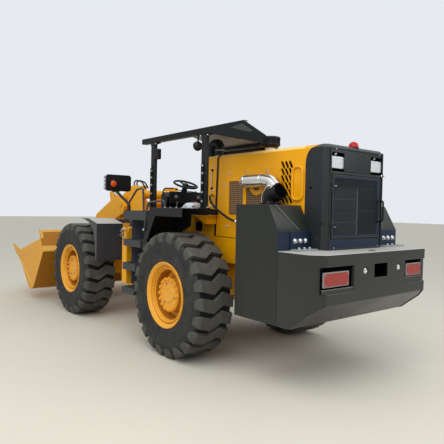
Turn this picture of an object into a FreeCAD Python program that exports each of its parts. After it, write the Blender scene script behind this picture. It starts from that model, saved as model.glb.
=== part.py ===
import FreeCAD, Part
import math
import os

# Articulated wheel loader of low build, driven from the open seat ahead of its bonnet.
# Millimetres, X forward, Y to the left, Z up. Stations run forward from the rear axle,
# and every piece moves by ORIGIN_SHIFT at the end, so that the origin lies on the
# ground under the middle of the whole length. Points of side views are (x, z).

# Running gear
REAR_REACH = 1300.0
FRONT_REACH = 1300.0
PIVOT_X = REAR_REACH
WHEELBASE = REAR_REACH + FRONT_REACH
TYRE_R = 665.0
AXLE_Z = TYRE_R
TYRE_HALF = 222.5
TYRE_BULGE_R = 500.0
TYRE_TOE_HALF = 150.0
LUGS = 22
LUG_HEIGHT = 35.0
LUG_END = (TYRE_HALF - 3.5, TYRE_R - 53.0)
LUG_EDGE_HALF = 188.0
LUG_KNEES = (44.0, -68.0)
LUG_SWING = 0.21
LUG_SHARES = (0.56, 0.64, 0.68)
FLOOR_END_STEP = (14.0, 12.0)
BEAD_R = 320.0
RIM_FLANGE_R = 352.0
RIM_HALF = 184.0
RIM_FLANGE = 14.0
RIM_WALL = 16.0
HUB_R = 180.0
HUB_FACE = 95.0
HUB_BACK = 40.0
HUB_NOSE_R = 60.0
HUB_NOSE = 20.0
WHEEL_Y = 877.5
SPINDLE_R = 60.0
SPINDLE_REACH = 28.0
AXLE_BEAM_HALF = 640.0
AXLE_HALF_WIDTH = 95.0
AXLE_HALF_HEIGHT = 110.0
AXLE_PAD_TOP = AXLE_Z + 120.0
AXLE_PAD_HALF = 60.0
FINAL_DRIVE_R = 150.0
FINAL_DRIVE_Y = 600.0
DIFF_R = 175.0
DIFF_HALF = 150.0
RUNNING_GAP = 5.0
FIT_GAP = 0.3

# Rear frame: side plates, the hinge's forks and the steering cylinders' seats
FRAME_Y = 330.0
FRAME_PLATE = 25.0
FRAME_OUT = FRAME_Y + FRAME_PLATE
FRAME_BOTTOM = AXLE_Z + 135.0
FRAME_TOP = AXLE_Z + 575.0
FRAME_LOW = AXLE_Z - 105.0
FRAME_NOSE_TOP = AXLE_Z + 495.0
FRAME_SADDLE = 150.0
FRAME_FRONT_X = PIVOT_X - 300.0
FRAME_SLOPE_X = FRAME_FRONT_X - 120.0
FRAME_DROP = ((330.0, 0.0), (430.0, -160.0))
FRAME_TOE_X = FRAME_FRONT_X - 160.0
HINGE_HIGH_Z = AXLE_Z + 395.0
HINGE_LOW_Z = AXLE_Z - 45.0
HINGE_PLATE = 30.0
HINGE_LUG_HALF = 25.0
HINGE_FORK_GAP = 2.0
HINGE_PIN_R = 40.0
HINGE_EYE_R = 105.0
WINDOW_R = 75.0
STEER_BACK = 760.0
STEER_Y_BASE = 262.0
STEER_Y_EYE = 285.0
STEER_Z = AXLE_Z + 55.0
STEER_SLOT_Y = (205.0, 325.0)
STEER_SLOT_HALF = 75.0
STEER_LUG = 20.0
STEER_LUG_HALF = 50.0
STEER_BASE_GAP = 40.0
STEER_EYE_GAP = 26.0
STEER_EYE_LUG_R = 40.0

# Counterweight, wing boxes and their brackets
HOOD_REAR_X = -1350.0
CW_FRONT_X = HOOD_REAR_X - 85.0
CW_DEPTH = 451.0
CW_REAR_X = CW_FRONT_X - CW_DEPTH
CW_HALF = 867.0
CW_CHAMFER = 108.0
CW_BOTTOM = AXLE_Z - 71.0
CW_SLOPE_X = CW_REAR_X + 300.0
CW_SLOPE_Z = AXLE_Z + 163.0
TOW_HALF = 100.0
TOW_LOW = AXLE_Z + 347.0
TOW_HIGH = TOW_LOW + 121.0
TOW_DEPTH = 190.0
TOW_PIN_R = 22.0
TOW_PIN_X = CW_REAR_X + 101.0
TOW_PIN_DEPTH = 60.0
RECESS_INNER_Y = 400.0
RECESS_LOW = AXLE_Z + 257.0
RECESS_HIGH = RECESS_LOW + 217.0
RECESS_DEPTH = 25.0
WING_FRONT_X = -885.0
WING_TOP = AXLE_Z + 973.0
WING_SLANT_X = CW_FRONT_X + 115.0
WING_SLANT_Z = AXLE_Z + 749.0
BRACKET_Y0 = 460.0
BRACKET_WIDTH = 256.0
BRACKET_HEIGHT = 168.0
BRACKET_PLATE = 12.0
BRACKET_FOOT = 112.0

# Bonnet, cowl and what stands on them
HOOD_HALF = 450.0
HOOD_TOP = AXLE_Z + 1525.0
HOOD_FRONT_X = 130.0
HOOD_WALL = 12.0
HOOD_CHAMFER = 28.0
HOOD_RAIL = 10.0
MESH_LOW = AXLE_Z + 857.0
MESH_WINDOWS = ((402.0, 242.0, 0.0, 375.0), (682.0, 322.0, 17.0, 286.0))
MESH_BORDER = 15.0
MESH_THICK = 8.0
COWL_DEPTH = 255.0
COWL_REAR_X = HOOD_REAR_X - COWL_DEPTH
COWL_HALF = 450.0
COWL_CHAMFER = 45.0
COWL_LAP = 20.0
DOOR_HALF = 371.0
DOOR_LOW = AXLE_Z + 679.0
DOOR_HEIGHT = 577.0
DOOR_HIGH = DOOR_LOW + DOOR_HEIGHT
DOOR_PLATE = 20.0
DOOR_PROUD = 7.0
DOOR_GAP = 5.0
DOOR_AXIS_OFF = 15.0
KNUCKLE_R = 12.0
KNUCKLE_PIN_R = 6.0
KNUCKLE_LENGTH = 40.0
KNUCKLE_EAR = 15.0
KNUCKLE_GAP = 1.0
DOOR_HINGE_Z = (DOOR_LOW + 106.0, DOOR_HIGH - 106.0)
HANDLE_INSET = 25.0
HANDLE_REACH = 55.0
HANDLE_LENGTH = 200.0
HANDLE_LOW = 156.0
HANDLE_R = 9.0
RECESS_LAMP_HALF = 402.0
RECESS_LAMP_LOW = DOOR_HIGH + 27.0
RECESS_LAMP_HIGH = RECESS_LAMP_LOW + 192.0
RECESS_LAMP_DEPTH = 70.0
LAMP_Y0 = 205.0
LAMP_WIDTH = 180.0
LAMP_Z0 = RECESS_LAMP_LOW + 14.0
LAMP_HEIGHT = 108.0
LAMP_INSET = 6.0
BEACON_AT = (COWL_REAR_X + 65.0, -20.0)
BEACON_FOOT = (48.0, 18.0)
BEACON_DOME = (42.0, 30.0, 62.0)
PRECLEANER_AT = (-640.0, 190.0)
PRECLEANER_NECK = (52.0, 58.0)
PRECLEANER_BOWL = (72.0, 22.0)
PRECLEANER_DRUM = (105.0, 85.0)
PRECLEANER_CAP = (92.0, 12.0)
EXHAUST_R = 52.0
EXHAUST_Z = AXLE_Z + 1209.0
EXHAUST_Y = HOOD_HALF + 95.0
EXHAUST_PATH = ((-560.0, HOOD_HALF, EXHAUST_Z - 2.0), (-640.0, EXHAUST_Y - 5.0, EXHAUST_Z),
                (-930.0, EXHAUST_Y, EXHAUST_Z + 2.0), (-1075.0, EXHAUST_Y + 15.0, EXHAUST_Z - 74.0))
ELBOW_X = -1020.0
ELBOW_Y = EXHAUST_Y + 25.0
ELBOW_PATH = ((ELBOW_X, ELBOW_Y, WING_TOP), (ELBOW_X, ELBOW_Y, WING_TOP + 107.0),
              (ELBOW_X - 100.0, ELBOW_Y, WING_TOP + 152.0))
ELBOW_R = 66.0

# Engine, cooling pack and drive line
RADIATOR_FRONT_X = HOOD_REAR_X + 160.0
RADIATOR_THICK = 100.0
RADIATOR_HALF = HOOD_HALF - HOOD_WALL - 38.0
RADIATOR_TOP = HOOD_TOP - 140.0
ENGINE_FRONT_X = 60.0
ENGINE_LENGTH = 1110.0
ENGINE_HALF = 270.0
ENGINE_Z0 = AXLE_Z + 205.0
ENGINE_Z1 = ENGINE_Z0 + 950.0
MOUNT_LENGTH = 70.0
MOUNT_HEIGHT = 60.0
MOUNT_INSET = 120.0
GEARBOX_FRONT_X = PIVOT_X - 540.0
GEARBOX_LENGTH = 510.0
GEARBOX_HALF = 210.0
GEARBOX_Z0 = AXLE_Z + 25.0
GEARBOX_Z1 = GEARBOX_Z0 + 430.0
GEARBOX_FOOT = (280.0, 200.0, 80.0, 40.0)
SUMP_INSET = 80.0
SUMP_HALF = 150.0
SUMP_DEPTH = 60.0
SHAFT_Z = AXLE_Z + 185.0
SHAFT_AXLE_Z = AXLE_Z + 55.0
SHAFT_BOX_Z = AXLE_Z + 95.0
SHAFT_R = 34.0
YOKE_BACK = 110.0
YOKE_HALF = 40.0
YOKE_ARM = 18.0
YOKE_ROOT = 30.0
JOINT_R = 36.0
JOINT_HALF = 38.0
JOINT_CLEAR = 2.0

# Lower body, floor, seat and controls
BODY_X0 = -430.0
BODY_FRONT_X = 600.0
BODY_BOTTOM = AXLE_Z + 335.0
BODY_HALF = 450.0
BODY_PLATE = 10.0
FLOOR_TOP = AXLE_Z + 845.0
FLOOR_PLATE = 12.0
FLOOR_NOSE = 180.0
DECK_HALF = 560.0
DECK_NOSE_IN = 40.0
DECK_LEG_BACK = 40.0
DECK_LEG = 20.0
SEAT_X = 400.0
SEAT_Y = 60.0
SEAT_HALF = 240.0
SEAT_DEPTH = 400.0
SEAT_HEIGHT = 150.0
SEAT_BACK_IN = 20.0
SEAT_BACK_LEAN = 40.0
DASH_BACK = 120.0
DASH_INSET = 10.0
DASH_SHELF = 40.0
DASH_RIGHT_Y = -330.0
DASH_LEFT_Y = 420.0
DASH_HEIGHT = 360.0
WHEEL_CENTRE_BACK = 30.0
WHEEL_CENTRE_Y = 120.0
WHEEL_CENTRE_RISE = 105.0
WHEEL_TILT = (-0.42, 0.0, 0.907)
WHEEL_RING_R = 190.0
WHEEL_RIM_R = 14.0
SPOKE_R = 11.0
WHEEL_HUB_R = 38.0
WHEEL_HUB = 36.0
COLUMN_R = 24.0
COLUMN_LENGTH = 260.0

# Platforms, steps, tanks and rear fenders
SIDE_Y = WHEEL_Y + 172.5
PLATFORM_BACK = 550.0
PLATFORM_FRONT_X = FRAME_FRONT_X
PLATFORM_BOTTOM = AXLE_Z + 775.0
PLATFORM_TOP = PLATFORM_BOTTOM + 105.0
PLATFORM_LAP = 30.0
STEPS = ((410.0, 0.0, 455.0, 80.0), (300.0, 10.0, 165.0, 85.0), (280.0, 20.0, -120.0, 75.0))
HANGER_Y = 745.0
HANGER_PLATE = 15.0
TANK_GAP = 40.0
TANK_X0 = FRAME_FRONT_X + TANK_GAP
TANK_LENGTH = 130.0
TANK_Y0 = 640.0
TANK_WIDTH = 260.0
TANK_Z0 = AXLE_Z - 105.0
TANK_Z1 = AXLE_Z + 675.0
TANK_ARM_Z = (AXLE_Z - 25.0, AXLE_Z + 395.0)
TANK_ARM = 60.0
TANK_ARM_LENGTH = 100.0
TANK_ARM_LAP = 10.0
FENDER_TOP = PLATFORM_TOP + 45.0
FENDER_PLATE = 8.0
FENDER_Y0 = 640.0
FENDER_Y1 = SIDE_Y
FENDER_REAR_X = -560.0
FENDER_FLAT_X = -260.0
FENDER_CORNER_X = 381.0
FENDER_DROP = 25.0
FENDER_LEG = 179.0
FENDER_FOOT_Z = AXLE_Z + 445.0
SKIRT_DEPTH = 93.0
SKIRT_FOOT = 60.0
SKIRT_FRONT_X = 271.0
SKIRT_REAR = 20.0
BEARER_INSET = (160.0, 11.0)
BEARER_LAP = 40.0
BEARER_DEPTH = 60.0
ARCH_PANEL = ((150.0, 202.0), (330.0, 272.0), (470.0, 472.0))

# Canopy, rails and front lamps
ROOF_TOP = HOOD_TOP + 260.0
ROOF_PLATE = 12.0
ROOF_SIDE_Y = 750.0
ROOF_BEAM = 65.0
ROOF_FLANGE = 70.0
ROOF_FRONT_X = PLATFORM_FRONT_X + 110.0
ROOF_LEFT_FRONT_X = 200.0
ROOF_BREAK_X = -830.0
ROOF_TIP_X = ROOF_BREAK_X - 310.0
ROOF_TIP_DROP = 180.0
ROOF_TIP_Z = ROOF_TOP - ROOF_TIP_DROP
ROOF_REAR_RIGHT_X = 100.0
ROOF_FRONT_RIGHT_X = ROOF_FRONT_X - 60.0
ROOF_RIGHT_Y = -450.0
VISOR_SHARE = 0.35
BEAM_END_X = -300.0
CHEEK_X = (-260.0, -370.0)
CHEEK_DROP = 25.0
CHEEK_TIP = (40.0, 70.0)
POST_LENGTH = 92.0
POST_DEPTH = 38.0
POST_INSET = 5.0
POSTS = ((PLATFORM_FRONT_X - 155.0, ROOF_SIDE_Y - POST_INSET - POST_DEPTH, PLATFORM_TOP),
         (-200.0, ROOF_SIDE_Y - POST_INSET - POST_DEPTH, FENDER_TOP),
         (PLATFORM_FRONT_X - 50.0, ROOF_RIGHT_Y, PLATFORM_BOTTOM), (190.0, ROOF_RIGHT_Y, FLOOR_TOP))
RAIL_R = 14.0
RAIL_Y = SIDE_Y - 30.0
REAR_RAIL = (-60.0, 340.0, 65.0)
FRONT_RAIL = (25.0, 300.0, 400.0)
FRONT_RAIL_RISE = (105.0, 270.0, 245.0)
LAMP_X = PLATFORM_FRONT_X + 200.0
LAMP_BOX = (90.0, 345.0, 205.0)
LAMP_BOX_Y = 845.0
LAMP_BOX_Z = PLATFORM_TOP + 240.0
LAMP_ARM_Y = SIDE_Y - 65.0

# Hose beside the bonnet: its fittings' radius, its own radius and its route as x, z and
# distance from the bonnet's side
HOSE_R = 13.0
HOSE_FITTING_R = 17.0
HOSE_FITTING = 34.0
HOSE_ROUTE = ((-10.0, AXLE_Z + 1083.0, 22.0), (-12.0, AXLE_Z + 1075.0, 50.0),
              (-26.0, AXLE_Z + 1047.0, 72.0), (-62.0, AXLE_Z + 997.0, 80.0),
              (-125.0, AXLE_Z + 945.0, 82.0), (-215.0, AXLE_Z + 897.0, 82.0),
              (-320.0, AXLE_Z + 847.0, 80.0), (-400.0, AXLE_Z + 813.0, 72.0),
              (-452.0, AXLE_Z + 797.0, 53.0), (-480.0, AXLE_Z + 791.0, 24.0))

# Front frame and mudguards
TOWER_Y = 305.0
TOWER_PLATE = 30.0
TOWER_OUT = TOWER_Y + TOWER_PLATE
FRONT_FRAME_REAR_X = PIVOT_X + 180.0
TOWER_BOTTOM = AXLE_Z - 105.0
TOWER_LINE = ((-300.0, -105.0), (-180.0, 120.0), (180.0, 120.0), (180.0, 295.0), (40.0, 485.0),
              (-130.0, 835.0), (-170.0, 1095.0), (-400.0, 1235.0), (-700.0, 1235.0), (-850.0, 865.0),
              (-960.0, 535.0))
TOWER_NECK_TOP = AXLE_Z + 495.0
NOSE_PLATE = 25.0
TOWER_SHELF_Z = AXLE_Z + 515.0
TOWER_TUBE = (-600.0, 1115.0)
TOWER_TUBE_R = 65.0
GUARD_X = WHEELBASE - 800.0
GUARD_PLATE = 8.0
GUARD_Y0 = WHEEL_Y - 177.5
GUARD_Y1 = WHEEL_Y + 152.5
GUARD_TOP = 2 * TYRE_R + 87.0
GUARD_LOW = AXLE_Z + 205.0
GUARD_BEND = (270.0, 62.0)
GUARD_END_X = WHEELBASE - 80.0
GUARD_ARM_X = WHEELBASE - 500.0
GUARD_ARM = 60.0
GUARD_ARM_IN = 40.0

# Lift arms, bell crank and tilt link
BOOM_PIVOT = (WHEELBASE - 270.0, AXLE_Z + 975.0)
BOOM_Y = 360.0
BOOM_PLATE = 50.0
BOOM_OUT = BOOM_Y + BOOM_PLATE
BOOM_PIN_R = 45.0
BOOM_PIN_PROUD = 15.0
BUCKET_PIN = (WHEELBASE + 1050.0, AXLE_Z - 307.0)
BUCKET_PIN_R = 35.0
LIFT_BASE = (WHEELBASE - 500.0, AXLE_Z + 235.0)
LIFT_EYE = (WHEELBASE + 300.0, AXLE_Z + 625.0)
LIFT_Y = 478.0
LIFT_BOSS_R = 75.0
LIFT_PIN_R = 45.0
CROSS_TUBE = (WHEELBASE + 350.0, AXLE_Z + 645.0)
CROSS_TUBE_R = 85.0
CRANK_PIVOT = (WHEELBASE + 600.0, AXLE_Z + 715.0)
CRANK_LOW = (WHEELBASE + 375.0, AXLE_Z + 118.0)
CRANK_TOP = (WHEELBASE + 780.0, AXLE_Z + 1135.0)
LINK_EYE = (BUCKET_PIN[0] - 160.0, BUCKET_PIN[1] + 206.0)
CRANK_HALF = 55.0
CRANK_PIN_R = 40.0
CRANK_BOSS_R = 95.0
CRANK_END_R = 55.0
CRANK_PLATE = 25.0
CRANK_LUG = 65.0
LINK_HALF = 28.0
LINK_PIN_R = 25.0
LINK_END_R = 50.0
LINK_EYE_R = 45.0
LINK_TRAVEL = 55.0
TILT_TRAVEL = 74.0
PIN_PROUD = 12.0
EYE_GAP = 5.0
# The arm's outline, each point from the pin that it lies nearest to
ARM_LINE = ((BOOM_PIVOT, (-118.0, -38.0)), (BOOM_PIVOT, (-68.0, 102.0)), (BOOM_PIVOT, (148.0, 129.0)),
            (CRANK_PIVOT, (-10.0, 80.0)), (CRANK_PIVOT, (100.0, -200.0)), (CRANK_PIVOT, (140.0, -400.0)),
            (BUCKET_PIN, (-173.0, 368.0)), (BUCKET_PIN, (61.0, 44.0)), (BUCKET_PIN, (40.0, -43.0)),
            (BUCKET_PIN, (-30.0, -73.0)), (BUCKET_PIN, (-88.0, -36.0)), (BUCKET_PIN, (-266.0, 239.0)),
            (LIFT_EYE, (240.0, -390.0)), (LIFT_EYE, (80.0, -140.0)), (BOOM_PIVOT, (240.0, -260.0)),
            (BOOM_PIVOT, (-68.0, -150.0)))
CRANK_BRACKET = ((CROSS_TUBE, (-60.0, -70.0)), (CROSS_TUBE, (-60.0, 80.0)))

# Bucket: the shell's outer line from the spill guard's top round to the lip, from its pin
BUCKET_HALF = 1200.0
BUCKET_PLATE = 20.0
BUCKET_STEPS = ((-44.0, 827.0), (-120.0, 685.0), (-170.0, 559.0), (-220.0, 483.0), (205.0, -105.0),
                (285.0, -168.0), (380.0, -195.0), (466.0, -175.0), (984.0, 275.0), (1420.0, 514.0))
BUCKET_LINE = tuple((BUCKET_PIN[0] + x, BUCKET_PIN[1] + z) for x, z in BUCKET_STEPS)
BUCKET_MOUTH = (BUCKET_PIN[0] + 990.0, BUCKET_PIN[1] + 427.0)
BACK_TOP = BUCKET_LINE[3]
BACK_LOW = BUCKET_LINE[4]
BUCKET_LIP_X = BUCKET_LINE[-1][0]
EAR_PLATE = 25.0
EAR_R = 60.0
EAR_PROUD = 10.0
EAR_SINK = 8.0

# Hydraulic cylinders: barrel length, barrel radius, rod radius, where the rod's tail stands,
# where the bore's floor stands, eye radius, eye width and base pin radius
LIFT_SIZES = (640.0, 50.0, 30.0, 110.0, 62.0, 50.0, 56.0, 30.0)
TILT_SIZES = (620.0, 62.0, 30.0, 430.0, 90.0, 66.0, 56.0, BOOM_PIN_R)
STEER_SIZES = (520.0, 34.0, 20.0, 250.0, 62.0, 36.0, 38.0, 20.0)
COLLAR = 40.0
COLLAR_PROUD = 4.0
BASE_GAP = 8.0
LIFT_SEAT_R = 60.0

ORIGIN_SHIFT = -0.5 * (CW_REAR_X + BUCKET_LIP_X)


def vec(x, y, z):
    return FreeCAD.Vector(x, y, z)


def box(x0, x1, y0, y1, z0, z1):
    return Part.makeBox(x1 - x0, y1 - y0, z1 - z0, vec(x0, y0, z0))


def rod(start, end, radius):
    axis = vec(*end) - vec(*start)
    return Part.makeCylinder(radius, axis.Length, vec(*start), axis)


def upright(x, y, z0, height, radius):
    return Part.makeCylinder(radius, height, vec(x, y, z0))


def side_prism(outline, y0, y1):
    """A plate whose outline is drawn in the XZ plane, from y0 to y1."""
    points = [vec(x, y0, z) for x, z in outline]
    face = Part.Face(Part.makePolygon(points + points[:1]))
    return face.extrude(vec(0, y1 - y0, 0))


def plan_prism(outline, z0, z1):
    """A plate whose outline is drawn in the XY plane, from z0 to z1."""
    points = [vec(x, y, z0) for x, y in outline]
    face = Part.Face(Part.makePolygon(points + points[:1]))
    return face.extrude(vec(0, 0, z1 - z0))


def end_prism(outline, x0, x1):
    """A plate whose outline is drawn in the YZ plane, from x0 to x1."""
    points = [vec(x0, y, z) for y, z in outline]
    face = Part.Face(Part.makePolygon(points + points[:1]))
    return face.extrude(vec(x1 - x0, 0, 0))


def moved(table):
    """Points given as an anchor and the step from it."""
    return [(anchor[0] + x, anchor[1] + z) for anchor, (x, z) in table]


def fuse(shapes):
    whole = shapes[0]
    for shape in shapes[1:]:
        whole = whole.fuse(shape)
    return whole.removeSplitter()


def cut(shape, tools):
    for tool in tools:
        shape = shape.cut(tool)
    return shape


def mirrored(shape):
    return shape.mirror(vec(0, 0, 0), vec(0, 1, 0))


def both_sides(shape):
    return Part.makeCompound([shape, mirrored(shape)])


def side_span(side, near, far):
    """The lower and upper y of a stretch that runs outwards on one side."""
    return min(side * near, side * far), max(side * near, side * far)


def tube(points, radius):
    """A round bar through the points, with tangent arcs at the turns."""
    nodes = [vec(*p) for p in points]
    edges = []
    start = nodes[0]
    for i in range(1, len(nodes) - 1):
        back = nodes[i - 1] - nodes[i]
        ahead = nodes[i + 1] - nodes[i]
        turn = math.pi - back.getAngle(ahead)
        reach = 0.45 * min(back.Length, ahead.Length)
        back.normalize()
        ahead.normalize()
        first = nodes[i] + back * reach
        last = nodes[i] + ahead * reach
        half = back + ahead
        half.normalize()
        arc_r = reach / math.tan(turn / 2)
        middle = nodes[i] + half * (arc_r / math.cos(turn / 2) - arc_r)
        edges.append(Part.makeLine(start, first))
        edges.append(Part.Arc(first, middle, last).toShape())
        start = last
    edges.append(Part.makeLine(start, nodes[-1]))
    wire = Part.Wire(edges)
    profile = Part.Wire(Part.makeCircle(radius, nodes[0], nodes[1] - nodes[0]))
    return wire.makePipeShell([profile], True, False)


def lathe(profile, centre, axis, across):
    """Turns (along, radius) points, or arcs given as three of them, round an axis."""
    def at(point):
        return centre + axis * point[0] + across * point[1]
    edges = []
    for item in profile:
        if len(item) == 3:
            edges.append(Part.Arc(at(item[0]), at(item[1]), at(item[2])).toShape())
        else:
            edges.append(Part.makeLine(at(item[0]), at(item[1])))
    face = Part.Face(Part.Wire(Part.__sortEdges__(edges)))
    return face.revolve(centre, axis, 360)


def polyline(points):
    return [(points[i], points[(i + 1) % len(points)]) for i in range(len(points))]


# Wheels
def flat_faces(loop):
    """One face of four corners that lie in a plane, or else two of three corners."""
    normal = (loop[1] - loop[0]).cross(loop[2] - loop[0])
    normal.normalize()
    if abs((loop[3] - loop[0]).dot(normal)) < 1e-6:
        corners = [loop]
    else:
        corners = [[loop[0], loop[1], loop[2]], [loop[0], loop[2], loop[3]]]
    return [Part.Face(Part.makePolygon(c + c[:1])) for c in corners]


def tyre(x, y):
    """Casing with its zigzag bars, in flat faces so that the repeats stay light.

    Each ring of the crown has four corners a pitch, on the floor and on the bar at either
    side of it. A ring of the sides has two, at the middle of the bar and of the groove.
    """
    outward = 1 if y > 0 else -1
    pitch = 2 * math.pi / LUGS
    toe_r = (BEAD_R + FIT_GAP) / math.cos(pitch / 4)
    end_y, end_r = LUG_END
    floor_r = TYRE_R - LUG_HEIGHT
    floor_end = (end_y - FLOOR_END_STEP[0], end_r - FLOOR_END_STEP[1])
    end_share, edge_share, knee_share = LUG_SHARES

    def at(along, radius, turn):
        return vec(x + radius * math.cos(turn), y + outward * along, AXLE_Z + radius * math.sin(turn))

    # Distance outwards and radius on the bar, the same on the floor, the bar's swing and share
    crown = [(end_y, end_r, floor_end[0], floor_end[1], 0, end_share),
             (LUG_EDGE_HALF, TYRE_R, LUG_EDGE_HALF, floor_r, 0, edge_share),
             (LUG_KNEES[0], TYRE_R, LUG_KNEES[0], floor_r, LUG_SWING, knee_share),
             (LUG_KNEES[1], TYRE_R, LUG_KNEES[1], floor_r, -LUG_SWING, knee_share),
             (-LUG_EDGE_HALF, TYRE_R, -LUG_EDGE_HALF, floor_r, 0, edge_share),
             (-end_y, end_r, -floor_end[0], floor_end[1], 0, end_share)]
    rings = []
    for bar_y, bar_r, low_y, low_r, swing, share in crown:
        ring = []
        for k in range(LUGS):
            start = (k + swing - share / 2) * pitch
            stop = (k + swing + share / 2) * pitch
            ring += [at(low_y, low_r, start), at(bar_y, bar_r, start),
                     at(bar_y, bar_r, stop), at(low_y, low_r, stop)]
        rings.append(ring)
    sides = [[at(along, radius, k * pitch / 2) for k in range(2 * LUGS)] for along, radius in (
        (TYRE_HALF, TYRE_BULGE_R), (TYRE_TOE_HALF, toe_r), (-TYRE_TOE_HALF, toe_r),
        (-TYRE_HALF, TYRE_BULGE_R))]
    faces = []
    for group in (rings, sides):
        count = len(group[0])
        for near, far in zip(group, group[1:]):
            for i in range(count):
                j = (i + 1) % count
                faces += flat_faces([near[i], near[j], far[j], far[i]])
    for ring, side in ((rings[0], sides[0]), (rings[-1], sides[-1])):
        for k in range(LUGS):
            bar, groove = side[2 * k], side[2 * k + 1]
            before = side[2 * k - 1]
            low, start, stop, last = ring[4 * k:4 * k + 4]
            following = ring[(4 * k + 4) % (4 * LUGS)]
            for corners in ((bar, start, stop), (groove, last, following),
                            (before, low, start), (before, start, bar),
                            (bar, stop, last), (bar, last, groove)):
                faces.append(Part.Face(Part.makePolygon(list(corners) + [corners[0]])))
    solid = Part.Solid(Part.Shell(faces))
    if solid.Volume < 0:
        solid.reverse()
    return solid


def rim(x, y):
    """Dished rim with its bead seat, both flanges and the hub's face outwards."""
    outward = 1 if y > 0 else -1
    seat = RIM_HALF - RIM_FLANGE
    bore = SPINDLE_R + FIT_GAP
    barrel_r = BEAD_R - RIM_WALL
    dish_r = BEAD_R - 35
    nose = HUB_FACE + HUB_NOSE
    blind = SPINDLE_REACH + 2
    profile = polyline([
        (-HUB_BACK, bore), (-HUB_BACK, HUB_R + 10), (20, HUB_R + 10), (20, barrel_r),
        (-RIM_HALF, barrel_r), (-RIM_HALF, RIM_FLANGE_R), (-seat, RIM_FLANGE_R),
        (-seat, BEAD_R), (seat, BEAD_R), (seat, RIM_FLANGE_R), (RIM_HALF, RIM_FLANGE_R),
        (RIM_HALF, RIM_FLANGE_R - RIM_WALL), (150, BEAD_R - 20), (60, dish_r),
        (45, dish_r), (45, HUB_R), (HUB_FACE, HUB_R), (HUB_FACE, HUB_NOSE_R + 15),
        (nose, HUB_NOSE_R), (nose, 0), (blind, 0), (blind, bore)])
    return lathe(profile, vec(x, y, AXLE_Z), vec(0, outward, 0), vec(0, 0, 1))


def axle(x):
    """Beam, differential, final drives and the spindles that the hubs turn on."""
    inner_face = WHEEL_Y - HUB_BACK - RUNNING_GAP
    tip = WHEEL_Y + SPINDLE_REACH
    beam_top = AXLE_Z + AXLE_HALF_HEIGHT
    beam = box(x - AXLE_HALF_WIDTH, x + AXLE_HALF_WIDTH, -AXLE_BEAM_HALF, AXLE_BEAM_HALF,
               AXLE_Z - AXLE_HALF_HEIGHT, beam_top)
    pads = [box(x - AXLE_HALF_WIDTH, x + AXLE_HALF_WIDTH, side * FRAME_Y - AXLE_PAD_HALF,
                side * FRAME_Y + AXLE_PAD_HALF, beam_top - 1, AXLE_PAD_TOP) for side in (1, -1)]
    drives = [rod((x, side * FINAL_DRIVE_Y, AXLE_Z), (x, side * inner_face, AXLE_Z), FINAL_DRIVE_R)
              for side in (1, -1)]
    spindle = rod((x, -tip, AXLE_Z), (x, tip, AXLE_Z), SPINDLE_R)
    casing = rod((x - DIFF_HALF, 0, AXLE_Z), (x + DIFF_HALF, 0, AXLE_Z), DIFF_R)
    return fuse([beam] + pads + drives + [spindle, casing])


# Rear half
def hinge_fork(z):
    """Two plates of the rear frame at one height, with their pin."""
    gap = HINGE_LUG_HALF + HINGE_FORK_GAP
    reach = gap + HINGE_PLATE
    plates = []
    for low in (z + gap, z - reach):
        plates.append(box(FRAME_FRONT_X - FRAME_PLATE, PIVOT_X, -HINGE_EYE_R, HINGE_EYE_R,
                          low, low + HINGE_PLATE))
        plates.append(upright(PIVOT_X, 0, low, HINGE_PLATE, HINGE_EYE_R))
    plates.append(upright(PIVOT_X, 0, z - reach, 2 * reach, HINGE_PIN_R))
    return plates


def rear_frame():
    """Two side plates with their end plates, the hinge's forks and the steering seats."""
    outline = [(CW_FRONT_X, FRAME_BOTTOM), (-FRAME_SADDLE, FRAME_BOTTOM),
               (-FRAME_SADDLE, AXLE_PAD_TOP), (FRAME_SADDLE, AXLE_PAD_TOP),
               (FRAME_SADDLE, FRAME_BOTTOM)]
    outline += [(x, FRAME_BOTTOM + z) for x, z in FRAME_DROP]
    outline += [(FRAME_TOE_X, FRAME_LOW), (FRAME_FRONT_X, FRAME_LOW),
                (FRAME_FRONT_X, FRAME_NOSE_TOP), (FRAME_SLOPE_X, FRAME_TOP), (CW_FRONT_X, FRAME_TOP)]
    pieces = [side_prism(outline, FRAME_Y, FRAME_OUT), side_prism(outline, -FRAME_OUT, -FRAME_Y)]
    pieces.append(box(CW_FRONT_X, CW_FRONT_X + FRAME_PLATE, -FRAME_Y, FRAME_Y,
                      FRAME_BOTTOM, FRAME_TOP))
    front = box(FRAME_FRONT_X - FRAME_PLATE, FRAME_FRONT_X, -FRAME_Y, FRAME_Y,
                FRAME_LOW, FRAME_NOSE_TOP)
    through = (FRAME_FRONT_X - 2 * FRAME_PLATE, FRAME_FRONT_X + FRAME_PLATE)
    tools = [rod((through[0], 0, SHAFT_Z), (through[1], 0, SHAFT_Z), WINDOW_R)]
    for side in (1, -1):
        low, high = side_span(side, *STEER_SLOT_Y)
        tools.append(box(through[0], through[1], low, high,
                         STEER_Z - STEER_SLOT_HALF, STEER_Z + STEER_SLOT_HALF))
    pieces.append(cut(front, tools))
    pieces += hinge_fork(HINGE_HIGH_Z) + hinge_fork(HINGE_LOW_Z)
    base_x = PIVOT_X - STEER_BACK
    reach = STEER_BASE_GAP + STEER_LUG
    for side in (1, -1):
        low, high = side_span(side, STEER_Y_BASE - STEER_LUG_HALF, FRAME_Y)
        for z0 in (STEER_Z - reach, STEER_Z + STEER_BASE_GAP):
            pieces.append(box(base_x - STEER_LUG_HALF, base_x + STEER_LUG_HALF, low, high,
                              z0, z0 + STEER_LUG))
        pieces.append(upright(base_x, side * STEER_Y_BASE, STEER_Z - reach, 2 * reach,
                              STEER_SIZES[-1]))
    return fuse(pieces)


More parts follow.
